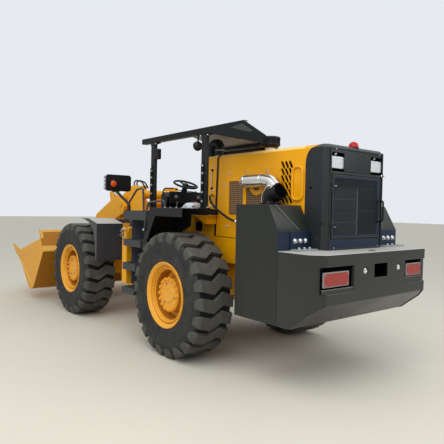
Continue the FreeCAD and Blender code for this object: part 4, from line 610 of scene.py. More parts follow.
    def bolt(self, point: Point, axis: Point, across: float = 24.0, height: float = 12.0,
             washer: bool = True) -> "Forge":
        """Adds a hexagon head with a chamfered crown, on a washer, standing on a face."""
        up = Vector(axis).normalized()
        base = Vector(point)
        if washer:
            self.turned([(-1, 0), (-1, across * 0.95), (3, across * 0.95), (3, 0)],
                        tuple(base), axis, 20, 0.6)
            base = base + up * 3
        radius = across / 2 / math.cos(math.pi / 6)
        self.turned([(-1, 0), (-1, radius), (height * 0.8, radius), (height, radius * 0.82),
                     (height, 0)], tuple(base), axis, 6)
        return self

    def make(self, body: str, replaces: Sequence[str] = (), slot: str = "",
             smooth: float = 38.0) -> bpy.types.Object:
        """Turns what was collected into one object that rides on a body.

        Args:
            body: The CAD body that it moves with.
            replaces: CAD nodes that it stands for.
            slot: The record's material slot; not used.
            smooth: Degrees above which an edge stays hard.

        Returns:
            The new object.
        """
        mesh = bpy.data.meshes.new(self.name)
        self.whole.to_mesh(mesh)
        self.whole.free()
        for finish in self.finishes:
            mesh.materials.append(Shop.material(finish))
        mesh.shade_smooth()
        mesh.set_sharp_from_angle(angle=math.radians(smooth))
        piece = bpy.data.objects.new(self.name, mesh)
        bpy.context.scene.collection.objects.link(piece)
        weighted = piece.modifiers.new("even_normals", "WEIGHTED_NORMAL")
        weighted.keep_sharp = True
        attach(piece, body)
        if replaces:
            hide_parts(*replaces)
        LOG.info("%s: %d faces on %s", self.name, len(mesh.polygons), body)
        return piece

    def ring(self, outer: Sequence[Pair], inner: Sequence[Pair], plane: Plane, low: float, high: float,
             edge: float = 1.5) -> "Forge":
        """Adds a flat frame between two outlines of as many points."""
        across, up, along = plane.value
        n = len(outer)
        points: list[Vector] = []
        for level in (low, high):
            for pair in (*outer, *inner):
                station = [0.0, 0.0, 0.0]
                station[across], station[up], station[along] = pair[0], pair[1], level
                points.append(place(*station))
        faces: list[Sequence[int]] = []
        for i in range(n):
            j = (i + 1) % n
            faces += [(i, j, n + j, n + i), (2 * n + i, 2 * n + j, 3 * n + j, 3 * n + i),
                      (i, j, 2 * n + j, 2 * n + i), (n + i, n + j, 3 * n + j, 3 * n + i)]
        return self.add(points, faces, edge)

    def carve(self, tools: "Forge") -> "Forge":
        """Cuts another forge's solids out of what was collected."""
        pieces: list[bpy.types.Object] = []
        for forge in (self, tools):
            mesh = bpy.data.meshes.new("carving")
            forge.whole.to_mesh(mesh)
            forge.whole.clear()
            piece = bpy.data.objects.new("carving", mesh)
            bpy.context.scene.collection.objects.link(piece)
            pieces.append(piece)
        cut = pieces[0].modifiers.new("cut", "BOOLEAN")
        cut.operation = "DIFFERENCE"
        cut.solver = "EXACT"
        cut.object = pieces[1]
        bpy.context.view_layer.update()
        solid = pieces[0].evaluated_get(bpy.context.evaluated_depsgraph_get())
        result = bpy.data.meshes.new_from_object(solid)
        self.whole.from_mesh(result)
        for piece in pieces:
            mesh = piece.data
            bpy.data.objects.remove(piece)
            bpy.data.meshes.remove(mesh)
        bpy.data.meshes.remove(result)
        tools.whole.free()
        return self

    def paint(self, finish: Finish, low: Point, high: Point, facing: Vector = Vector()) -> "Forge":
        """Gives the faces whose middle lies between two stations another finish.

        Args:
            finish: The finish.
            low: The lower station.
            high: The higher station.
            facing: The way that the faces must look, or nothing for all of them.

        Returns:
            The forge.
        """
        self.use(finish)
        first, last = place(*low), place(*high)
        self.whole.normal_update()
        for face in self.whole.faces:
            middle = face.calc_center_median()
            if facing.length > 0 and face.normal.dot(facing) < 0.6:
                continue
            if all(first[i] <= middle[i] <= last[i] for i in range(3)):
                face.material_index = self.index
        return self

    def trim_behind(self, x: float) -> "Forge":
        """Cuts off what lies behind a station, and closes the cut."""
        mesh = self.whole
        cut = bmesh.ops.bisect_plane(mesh, geom=mesh.verts[:] + mesh.edges[:] + mesh.faces[:], dist=1e-6,
                                     plane_co=place(x, 0, 0), plane_no=(1, 0, 0), clear_inner=True)
        edges = [item for item in cut["geom_cut"] if isinstance(item, bmesh.types.BMEdge)]
        bmesh.ops.holes_fill(mesh, edges=edges, sides=0)
        return self

    def split(self, line: Sequence[Pair], finish: Finish) -> "Forge":
        """Cuts the faces along a line in the side view and paints what lies ahead of it.

        Args:
            line: Stations (x, z), each higher than the last.
            finish: The finish of the faces ahead of the line.

        Returns:
            The forge.
        """
        for (x0, z0), (x1, z1) in zip(line, line[1:]):
            whole = self.whole
            bmesh.ops.bisect_plane(whole, geom=whole.verts[:] + whole.edges[:] + whole.faces[:], dist=1e-6,
                                   plane_co=place(x0, 0, z0), plane_no=Vector((z1 - z0, 0, x0 - x1)))
        self.use(finish)
        for face in self.whole.faces:
            middle = face.calc_center_median()
            x, z = (middle.x - REAR_AXLE_X) * 1000, middle.z * 1000
            edge = line[0][0] if z < line[0][1] else line[-1][0]
            for (x0, z0), (x1, z1) in zip(line, line[1:]):
                if z0 <= z < z1:
                    edge = x0 + (x1 - x0) * (z - z0) / (z1 - z0)
            if x > edge:
                face.material_index = self.index
        return self

    def node(self, name: str, width: float, segments: int = 2,
             wide: Sequence[tuple[float, Point, Point]] = ()) -> "Forge":
        """Adds a CAD node's own solid with its edges broken, as a fabricator grinds them.

        Args:
            name: The CAD node.
            width: Width of each broken edge, in millimetres.
            segments: Faces across each broken edge.
            wide: Flat chamfers cut first: their width, and the stations between which an
                edge has both of its ends.

        Returns:
            The forge.
        """
        part = bmesh.new()
        part.from_mesh(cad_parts[name].data)
        bmesh.ops.remove_doubles(part, verts=part.verts[:], dist=2e-5)
        bmesh.ops.dissolve_limit(part, angle_limit=math.radians(0.6), use_dissolve_boundaries=False,
                                 verts=part.verts[:], edges=part.edges[:], delimit=set())
        limit = math.radians(32)
        for offset, low, high in wide:
            part.normal_update()
            first, last = place(*low), place(*high)
            sharp = [e for e in part.edges if len(e.link_faces) == 2 and e.calc_face_angle(0) > limit
                     and all(first[i] <= v.co[i] <= last[i] for v in e.verts for i in range(3))]
            bmesh.ops.bevel(part, geom=sharp, offset=offset / 1000, offset_type="OFFSET", segments=1,
                            profile=0.5, clamp_overlap=False, affect="EDGES")
        if width > 0:
            part.normal_update()
            sharp = [e for e in part.edges if len(e.link_faces) == 2
                     and e.calc_face_angle(0) > limit and e.calc_length() > 2.4 * width / 1000]
            bmesh.ops.bevel(part, geom=sharp, offset=width / 1000, offset_type="OFFSET",
                            segments=segments, profile=0.5, clamp_overlap=False, affect="EDGES")
        for face in part.faces:
            face.material_index = self.index
        scratch = bpy.data.meshes.new("scratch")
        part.to_mesh(scratch)
        part.free()
        self.whole.from_mesh(scratch)
        bpy.data.meshes.remove(scratch)
        return self


@dataclass
class Studio:
    """Plain pale floor, soft even light, and the camera at the photograph's place."""

    eye: Point = (-4305.0, 3817.0, 1599.0)
    yaw: float = -0.683
    pitch: float = -0.029
    roll: float = 0.02
    lens_mm: float = 38.92
    floor_hex: str = "#cdc8ba"

    def camera(self) -> None:
        """Places the camera."""
        data = bpy.data.cameras.new("camera")
        data.lens = self.lens_mm
        data.sensor_width = 36.0
        data.clip_end = 200.0
        ahead = Vector((math.cos(self.pitch) * math.cos(self.yaw),
                        math.cos(self.pitch) * math.sin(self.yaw), math.sin(self.pitch)))
        right = Vector((math.sin(self.yaw), -math.cos(self.yaw), 0.0))
        up = right.cross(ahead)
        tilted = right * math.cos(self.roll) + up * math.sin(self.roll)
        risen = up * math.cos(self.roll) - right * math.sin(self.roll)
        basis = Matrix((tilted, risen, -ahead)).transposed().to_4x4()
        camera = bpy.data.objects.new("camera", data)
        camera.matrix_world = Matrix.Translation(place(*self.eye)) @ basis
        bpy.context.scene.collection.objects.link(camera)
        bpy.context.scene.camera = camera

    def floor(self) -> None:
        """Lays the floor, pale to the camera and in reflections."""
        mesh = bpy.data.meshes.new("floor")
        mesh.from_pydata([(-60, -60, 0), (60, -60, 0), (60, 60, 0), (-60, 60, 0)], [], [(0, 1, 2, 3)])
        material = bpy.data.materials.new("floor_concrete")
        material.use_nodes = True
        tree = material.node_tree
        shader = tree.nodes["Principled BSDF"]
        shader.inputs["Roughness"].default_value = 0.85
        shader.inputs["Specular IOR Level"].default_value = 0.2
        where = add_node(tree, "ShaderNodeTexCoord").outputs["Object"]
        stains = add_node(tree, "ShaderNodeTexNoise", {
            "Vector": where, "Scale": per_metre(1400.0), "Detail": 6.0, "Roughness": 0.6})
        base = linear(self.floor_hex)
        mixed = add_node(tree, "ShaderNodeMix", {
            "Factor": stains.outputs["Fac"], 6: [c * 0.95 for c in base[:3]] + [1.0],
            7: [c * 1.05 for c in base[:3]] + [1.0]}, data_type="RGBA")
        tree.links.new(mixed.outputs[2], shader.inputs["Base Color"])
        mesh.materials.append(material)
        floor = bpy.data.objects.new("floor", mesh)
        bpy.context.scene.collection.objects.link(floor)
        floor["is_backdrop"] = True

    def light(self) -> None:
        """Hangs one wide soft lamp over the left and an even pale world round it."""
        world = bpy.data.worlds.new("studio")
        bpy.context.scene.world = world
        world.use_nodes = True
        tree = world.node_tree
        background = tree.nodes["Background"]
        rays = add_node(tree, "ShaderNodeLightPath")
        seen = add_node(tree, "ShaderNodeMath", {
            0: rays.outputs["Is Camera Ray"], 1: rays.outputs["Is Transmission Ray"]},
            operation="MAXIMUM")
        height = add_node(tree, "ShaderNodeSeparateXYZ", {
            0: add_node(tree, "ShaderNodeTexCoord").outputs["Generated"]}).outputs["Z"]
        above = add_node(tree, "ShaderNodeMapRange", {
            "Value": height, "From Min": -0.1, "From Max": 0.8, "To Min": 0.16, "To Max": 1.0})
        glow = add_node(tree, "ShaderNodeMix", {
            "Factor": above.outputs[0], 6: linear("#5a5c5e"), 7: linear("#eef2f6")},
            data_type="RGBA")
        colour = add_node(tree, "ShaderNodeMix", {
            "Factor": seen.outputs[0], 6: glow.outputs[2], 7: linear("#dde1e6")},
            data_type="RGBA")
        tree.links.new(colour.outputs[2], background.inputs["Color"])
        background.inputs["Strength"].default_value = 1.1
        for name, spot, power, size in (("key", (-3200.0, 5600.0, 7000.0), 520.0, 9.0),
                                        ("fill", (-5200.0, -2500.0, 4200.0), 90.0, 4.0)):
            data = bpy.data.lights.new(name, "AREA")
            data.energy = power
            data.size = size
            lamp = bpy.data.objects.new(name, data)
            lamp.location = place(*spot)
            aim = place(600.0, 0.0, 900.0) - lamp.location
            lamp.rotation_euler = aim.to_track_quat("-Z", "Y").to_euler()
            bpy.context.scene.collection.objects.link(lamp)

    def build(self) -> None:
        """Sets up the whole studio."""
        bpy.context.scene.view_settings.view_transform = "Standard"
        self.camera()
        self.floor()
        self.light()


def rounded(low: Pair, high: Pair, radius: float, steps: int = 5) -> list[Pair]:
    """A rectangle with round corners.

    Args:
        low: Its lowest corner.
        high: Its highest corner.
        radius: The corners' radius.
        steps: Points round each corner, less one.

    Returns:
        Its points in order, as many for any radius.
    """
    centres = ((high[0] - radius, high[1] - radius), (low[0] + radius, high[1] - radius),
               (low[0] + radius, low[1] + radius), (high[0] - radius, low[1] + radius))
    points: list[Pair] = []
    for k, (x, z) in enumerate(centres):
        for i in range(steps + 1):
            a = math.pi / 2 * (k + i / steps)
            points.append((x + radius * math.cos(a), z + radius * math.sin(a)))
    return points


def slot(start: Pair, end: Pair, radius: float, steps: int = 6) -> list[Pair]:
    """A slot with round ends, given by the line down its middle."""
    heading = math.atan2(end[1] - start[1], end[0] - start[0])
    points: list[Pair] = []
    for centre, first in ((end, heading - math.pi / 2), (start, heading + math.pi / 2)):
        for i in range(steps + 1):
            a = first + math.pi * i / steps
            points.append((centre[0] + radius * math.cos(a), centre[1] + radius * math.sin(a)))
    return points


@dataclass
class HoodHose:
    """Hydraulic hose that hangs from one crimped fitting to the other beside the bonnet."""

    diameter: float = 26.0
    length: float = 611.9
    route: tuple[Point, ...] = (
        (-10.0, 472.0, 1748.0), (-12.0, 500.0, 1740.0), (-26.0, 522.0, 1712.0), (-62.0, 530.0, 1662.0),
        (-125.0, 532.0, 1610.0), (-215.0, 532.0, 1562.0), (-320.0, 530.0, 1512.0),
        (-400.0, 522.0, 1478.0), (-452.0, 503.0, 1462.0), (-480.0, 474.0, 1456.0))

    def build(self) -> None:
        """Makes the hose along its route; its two fittings are made with the bonnet's trim."""
        curve = bpy.data.curves.new("hood_hose_line", "CURVE")
        curve.dimensions = "3D"
        curve.bevel_depth = self.diameter / 2000
        curve.bevel_resolution = 5
        curve.resolution_u = 10
        curve.use_fill_caps = True
        spline = curve.splines.new("NURBS")
        spline.points.add(len(self.route) - 1)
        for point, station in zip(spline.points, self.route):
            point.co = (*place(*station), 1.0)
        spline.order_u = 3
        spline.use_endpoint_u = True
        curve.materials.append(Shop.material(HOSE_RUBBER))
        hose = bpy.data.objects.new("hood_hose_extruded", curve)
        bpy.context.scene.collection.objects.link(hose)
        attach(hose, "chassis")
        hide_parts("hood_hose")
        LOG.info("hood_hose_extruded: %d control points on chassis", len(self.route))


@dataclass
class Hood:
    """Pressed bonnet with its rubber seam, louvres, punched panels, bolts and handles."""

    side_y: float = 450.0
    top_z: float = 2190.0
    chamfer: float = 28.0
    seam_top_x: float = -84.0
    seam_low_x: float = -50.0
    seam_low_z: float = 1284.0
    seam_width: float = 34.0
    bolts: tuple[Pair, ...] = ((-7.0, 2071.0), (-275.0, 1976.0), (-560.0, 1981.0), (-865.0, 1978.0),
                               (-196.0, 1847.0), (-34.0, 1630.0), (-34.0, 1604.0), (-260.0, 1401.0),
                               (41.0, 1619.0), (4.0, 1797.0), (-188.0, 1536.0))
    windows: tuple[tuple[float, float, float, float], ...] = (
        (-514.0, 1522.0, -272.0, 1897.0), (-874.0, 1539.0, -552.0, 1825.0))
    louvre_start: Pair = (-1066.0, 2046.0)
    louvre_step: Pair = (-50.0, -67.0)
    louvre_run: Pair = (-25.0, -42.0)
    louvre_r: float = 16.0
    louvre_rows: int = 6
    louvre_columns: int = 3
    collar_at: Pair = (-725.0, 1853.0)
    collar_radii: Pair = (66.0, 118.0)
    handle_low: Pair = (-1338.0, 1690.0)
    handle_high: Pair = (-1212.0, 1998.0)

    def louvres(self) -> list[list[Pair]]:
        """Outlines of the slanted slots."""
        slots: list[list[Pair]] = []
        for row in range(self.louvre_rows):
            for column in range(self.louvre_columns):
                x = self.louvre_start[0] + column * self.louvre_step[0]
                z = self.louvre_start[1] + row * self.louvre_step[1]
                slots.append(slot((x, z), (x + self.louvre_run[0], z + self.louvre_run[1]), self.louvre_r))
        return slots

    def shell(self) -> None:
        """Makes the bonnet's sheet, pierced by its louvres and the collar's hole."""
        tools = Forge("tools", YELLOW)
        y = self.side_y
        for side in (1, -1):
            for outline in self.louvres():
                tools.prism(outline, Plane.SIDE, side * (y - 40), side * (y + 10), 0)
        x, z = self.collar_at
        tools.turned([(-40, 0), (-40, self.collar_radii[0]), (10, self.collar_radii[0]), (10, 0)],
                     (x, y, z), (0, 1, 0), 32)
        forge = Forge("hood_pressed", YELLOW).node("hood", 4.0).carve(tools)
        # Top chamfer of each side in pale yellow: painted highlight
        for side in (1, -1):
            forge.paint(HIGHLIGHT_YELLOW, (-1360, min(side * (y - 30), side * y), self.top_z - 30), (140, max(
                side * (y - 30), side * y), self.top_z), Vector((0, side, 1)).normalized())
        forge.make("chassis", ("hood",))

    def seam(self, forge: Forge, side: int) -> None:
        """Adds the rubber strip down one side, between two rolled edges, to the top's middle."""
        y, w = self.side_y, self.seam_width / 2
        shoulder = self.top_z - self.chamfer
        top, low = self.seam_top_x, self.seam_low_x
        forge.use(BLACK_PLASTIC).prism([(top - w, shoulder), (top + w, shoulder), (low + w, self.seam_low_z),
                                        (low - w, self.seam_low_z)], Plane.SIDE, side * (y - 2), side * (y + 6), 2.0)
        edge = [(side * (y + 6), shoulder), (side * (y - self.chamfer + 2), self.top_z + 5), (0, self.top_z + 5),
                (0, self.top_z - 3), (side * (y - self.chamfer - 2), self.top_z - 3), (side * (y - 4), shoulder)]
        forge.prism(edge, Plane.END, top - w, top + w, 1.5)
        forge.use(YELLOW)
        for step in (-w - 5, w + 5):
            forge.rod((low + step, side * y, self.seam_low_z), (top + step, side * y, shoulder), 5.0, 12)

    def trim(self) -> None:
        """Adds the seam, bolts, bars, panels and the pull handle of both sides."""
        forge = Forge("hood_trim", YELLOW)
        y = self.side_y
        for side in (1, -1):
            out = (0, side, 0)
            self.seam(forge, side)
            forge.use(ZINC)
            for x, z in self.bolts:
                forge.bolt((x, side * y, z), out, 17.0, 8.0)
            forge.rod((17, side * (y + 16), 2020), (22, side * (y + 16), 1828), 7.0, 16)
            forge.use(BLACK_PLASTIC)
            for x, z in ((17, 2026), (22, 1822)):
                forge.turned([(-2, 0), (-2, 15), (18, 12), (25, 8), (25, 0)], (x, side * y, z), out, 20, 1.0)
            forge.use(YELLOW)
            for x0, z0, x1, z1 in self.windows:
                forge.ring(rounded((x0 - 6, z0 - 6), (x1 + 6, z1 + 6), 3), rounded((x0 + 5, z0 + 5), (x1 - 5, z1 - 5), 22),
                           Plane.SIDE, side * (y - 8), side * (y + 1.5), 0.8)
            loop = rounded(self.handle_low, self.handle_high, 50, 8)
            line = [Vector((x, side * (y + 8), z)) for x, z in loop + loop[:2]]
            forge.sweep(line, [13.0] * len(line), 12)
            inner = rounded((self.handle_low[0] + 12, self.handle_low[1] + 12),
                            (self.handle_high[0] - 12, self.handle_high[1] - 12), 40, 8)
            forge.prism(inner, Plane.SIDE, side * (y - 1), side * (y + 1.6), 1.0)
            forge.use(BLACK_PLASTIC)
            forge.prism([(-62, 1280), (-62, 1287), (-880, 1271), (-880, 1264)], Plane.SIDE,
                        side * (y - 1), side * (y + 1), 0)
            forge.use(MESH_BROWN)
            for x0, z0, x1, z1 in self.windows:
                forge.block((x0 - 15, side * (y - 20), z0 - 15), (x1 + 15, side * (y - 7), z1 + 15), 0)
        x, z = self.collar_at
        inner, outer = self.collar_radii
        forge.use(YELLOW).turned([(-12, inner), (-12, outer - 4), (8, outer), (14, outer - 6), (16, outer - 22),
                                  (14, inner + 3), (10, inner)], (x, y, z), (0, 1, 0), 48, 0, True)
        # Black cup behind the collar's hole: painted shade for the dark opening
        forge.use(BLACK_COAT).turned([(-90, 0), (-90, inner + 8), (-8, inner + 8), (-8, inner), (-84, inner - 6),
                                      (-84, 0)], (x, y, z), (0, 1, 0), 32)
        forge.use(CHROME).turned([(-40, 0), (-40, 26), (-14, 20), (-4, 8), (-2, 0)], (x - 14, y - 30, z - 42),
                                 (0, 1, 0), 20)
        forge.use(CHROME)
        for first, second in ((HoodHose.route[0], HoodHose.route[1]), (HoodHose.route[-1], HoodHose.route[-2])):
            start, ahead = Vector(first), (Vector(second) - Vector(first)).normalized()
            forge.turned([(-24, 0), (-24, 17), (-8, 17), (-6, 14.5), (2, 14.5), (4, 16), (44, 15), (46, 13.4),
                          (46, 0)], tuple(start), tuple(ahead), 20, 0.6)
        forge.make("chassis", ("hood_mesh",))

    def build(self) -> None:
        """Makes the sheet and what is fixed to it."""
        self.shell()
        self.trim()


@dataclass
class Exhaust:
    """Polished tail pipe with welded bends and an open mouth, on a cast elbow."""

    pipe_r: float = 66.0
    pipe: tuple[Point, ...] = ((-560.0, 440.0, 1870.0), (-590.0, 500.0, 1874.0), (-660.0, 545.0, 1876.0),
                               (-935.0, 548.0, 1878.0), (-1030.0, 552.0, 1862.0), (-1118.0, 566.0, 1796.0))
    elbow_r: float = 78.0
    elbow: tuple[Point, ...] = ((-1040.0, 570.0, 1630.0), (-1048.0, 570.0, 1725.0), (-1172.0, 574.0, 1766.0))

    def build(self) -> None:
        """Makes the pipe, its weld beads and the elbow."""
        forge = Forge("exhaust_welded_tube", STAINLESS)
        forge.pipe(self.pipe, self.pipe_r, 90.0, 32, 150.0)
        for station, ahead in (((-668.0, 545.0, 1876.0), (1, 0, 0)), ((-900.0, 548.0, 1878.0), (1, 0, 0))):
            forge.turned([(-5, 64), (-3, 67), (0, 68), (3, 67), (5, 64)], station, ahead, 32, 0, True)
        # Black disc over the pipe's mouth: soot, with painted shade for the dark bore
        forge.use(SOOT_AND_SHADE).turned([(0, 0), (0, 58), (3, 58), (3, 0)], (-1119.0, 566.2, 1795.0), (-88, 14, -66), 32)
        forge.use(BLACK_PLASTIC).pipe(self.elbow, self.elbow_r, 80.0, 32)
        # Black disc over the elbow's open end: soot, with painted shade
        forge.use(SOOT_AND_SHADE).turned([(-1, 0), (-1, 70), (1.5, 70), (1.5, 0)], self.elbow[2], (-124, 4, 41), 32)
        forge.use(BLACK_PLASTIC)
        forge.turned([(-8, 70), (-8, 98), (8, 98), (8, 70)], (-1040.0, 570.0, 1650.0), (0, 0, 1), 32, 1.5, True)
        forge.use(ZINC)
        for k in range(6):
            a = math.pi / 3 * k
            forge.bolt((-1040 + 88 * math.cos(a), 570 + 88 * math.sin(a), 1657), (0, 0, 1), 11.0, 6.0, False)
        forge.use(STAINLESS).pipe(((-985, 630, 1652), (-985, 632, 1742), (-1040, 634, 1800), (-1068, 634, 1822)),
                                  5.0, 60.0, 8)
        forge.make("chassis", ("exhaust",))


@dataclass
class Precleaner:
    """Moulded air pre-cleaner: ribbed drum over a bowl, on a pale neck."""

    at: Pair = (-640.0, 190.0)
    base_z: float = 2190.0
    facets: int = 20

    def build(self) -> None:
        """Makes the neck, bowl, ribbed drum and cap."""
        x, y = self.at
        centre = (x, y, self.base_z)
        forge = Forge("precleaner_moulded", WHITE_PAINT_AND_REFLECTION)
        forge.turned([(0, 0), (0, 50), (30, 50), (34, 56), (52, 56), (60, 50), (60, 0)], centre, (0, 0, 1), 40, 1.0)
        forge.use(BLACK_PLASTIC)
        forge.turned([(58, 0), (58, 70), (66, 86), (80, 98), (84, 104), (96, 104), (98, 98), (100, 98), (100, 0)],
                     centre, (0, 0, 1), 48, 1.0)
        forge.turned([(98, 0), (98, 92), (160, 94), (160, 0)], centre, (0, 0, 1), 48)
        forge.turned([(152, 0), (152, 104), (166, 104), (172, 97), (176, 88), (177, 40), (177, 0)], centre,
                     (0, 0, 1), 48, 1.0)
        for k in range(self.facets):
            a = 2 * math.pi * k / self.facets
            c, s = math.cos(a), math.sin(a)
            forge.rod((x + 96 * c, y + 96 * s, self.base_z + 98), (x + 97 * c, y + 97 * s, self.base_z + 156),
                      6.5, 8, 0)
        forge.make("chassis", ("precleaner",))


@dataclass
class Cowl:
    """Grey cowl whose corner sweeps back under the bonnet's colour, with its lamps and beacon."""

    rear_x: float = -1605.0
    half: float = 450.0
    face_half: float = 404.0
    top_z: float = 2190.0
    sweep: tuple[Pair, ...] = ((-1362.0, 1230.0), (-1362.0, 2020.0), (-1366.0, 2062.0), (-1376.0, 2096.0),
                               (-1396.0, 2132.0), (-1424.0, 2156.0), (-1470.0, 2176.0), (-1531.0, 2192.0))
    holes: tuple[tuple[float, float, float], ...] = (
        (-1477.0, 1986.0, 6.0), (-1479.0, 1927.0, 6.0), (-1427.0, 1799.0, 13.0))
    lamp_z: Pair = (1976.0, 2082.0)
    lamps: tuple[Pair, ...] = ((232.0, 388.0), (-362.0, -218.0))
    beacon_at: Point = (-1540.0, -20.0, 2190.0)
    chamfer: float = 28.0

    def shell(self) -> None:
        """Makes the cowl, with the bonnet's colour ahead of the swept line."""
        forge = Forge("cowl_folded", COWL_GREY).node("rear_cowl", 2.5, 2, ((
            self.chamfer, (-1700, -460, self.top_z - 1), (-1340, 460, self.top_z + 1)),))
        forge.split(self.sweep, YELLOW)
        tools = Forge("tools", COWL_GREY)
        for x, z, radius in self.holes:
            tools.turned([(-30, 0), (-30, radius), (10, radius), (10, 0)], (x, self.half, z), (0, 1, 0), 20)
        forge.carve(tools)
        forge.make("chassis", ("rear_cowl",))

    def trim(self) -> None:
        """Adds the frame round the rear face, the lamps' panel and the low panel."""
        forge = Forge("cowl_trim", COWL_GREY)
        x, y = self.rear_x, self.face_half
        forge.ring(rounded((-y, 1246), (y, 2164), 6), rounded((-y + 10, 1256), (y - 10, 2150), 8), Plane.END,
                   x - 13, x + 2, 2.0)
        forge.use(PANEL_GREY).block((x - 4, -208, 1949), (x + 60, 206, 2139), 3.0)
        forge.block((x - 3, -401, 2116), (x + 40, 401, 2141), 2.0)
        forge.use(NAVY).prism(rounded((-386, 1254), (386, 1332), 4), Plane.END, x - 4, x + 2, 1.0)
        forge.use(BLACK_PLASTIC)
        for low, high in self.lamps:
            forge.block((x + 2, low - 8, self.lamp_z[0] - 8), (x + 66, high + 8, self.lamp_z[1] + 6), 7.0, 3)
            middle = (low + high) / 2
            forge.block((x + 20, middle - 16, self.lamp_z[1]), (x + 50, middle + 16, 2139), 4.0)
            forge.use(ZINC).bolt((x + 20, middle, self.lamp_z[1] + 26), (-1, 0, 0), 14.0, 8.0)
            # White face behind each lens: painted reflection of the lamp's reflector
            forge.use(WHITE_PAINT_AND_REFLECTION).block((x - 1, low, self.lamp_z[0]), (x + 6, high, self.lamp_z[1]), 2.0)
            # Pale grey strip beside each lamp: painted highlight on the housing's side
            forge.use(PLATE_EDGE).block((x - 5, low - 20, self.lamp_z[0] + 2), (x + 30, low - 1, self.lamp_z[1] - 2), 5.0)
            forge.use(BLACK_PLASTIC)
        for side in (1, -1):
            for z in (1262, 2146):
                forge.use(ZINC).bolt((x - 12, side * 340, z), (-1, 0, 0), 10.0, 5.0, False)
        forge.use(CHROME).bolt((x - 4, -398, 1946), (-1, 0, 0), 18.0, 22.0)
        forge.use(BLACK_COAT).bolt((-1573, self.half, 1480), (0, 1, 0), 12.0, 5.0)
        forge.make("chassis", ("work_lamps",))

    def lenses(self) -> None:
        """Adds each lamp's clear lens with its four moulded bands."""
        forge = Forge("work_lamp_lenses", CLEAR_LENS)
        step = (self.lamp_z[1] - self.lamp_z[0]) / 4
        for low, high in self.lamps:
            for k in range(4):
                z = self.lamp_z[0] + k * step
                forge.block((self.rear_x - 7, low + 1, z + 1.5), (self.rear_x + 1, high - 1, z + step - 1.5), 3.5, 3)
        forge.make("chassis")

    def beacon(self) -> None:
        """Adds the flashing lamp: a black foot and a red fluted dome."""
        x, y, z = self.beacon_at
        forge = Forge("beacon_moulded", BLACK_PLASTIC)
        forge.turned([(0, 0), (0, 50), (5, 50), (7, 46), (7, 0)], self.beacon_at, (0, 0, 1), 36, 1.0)
        forge.use(RED_LENS)
        forge.turned([(6, 0), (6, 46), (14, 47), (34, 43), (48, 34), (57, 22), (61, 8), (62, 0)],
                     self.beacon_at, (0, 0, 1), 40)
        for k in range(20):
            a = 2 * math.pi * k / 20
            forge.rod((x + 46 * math.cos(a), y + 46 * math.sin(a), z + 10),
                      (x + 40 * math.cos(a), y + 40 * math.sin(a), z + 38), 2.4, 6, 0)
        forge.make("chassis", ("beacon",))

    def build(self) -> None:
        """Makes the shell, its trim, the lenses and the beacon."""
        self.shell()
        self.trim()
        self.lenses()
        self.beacon()


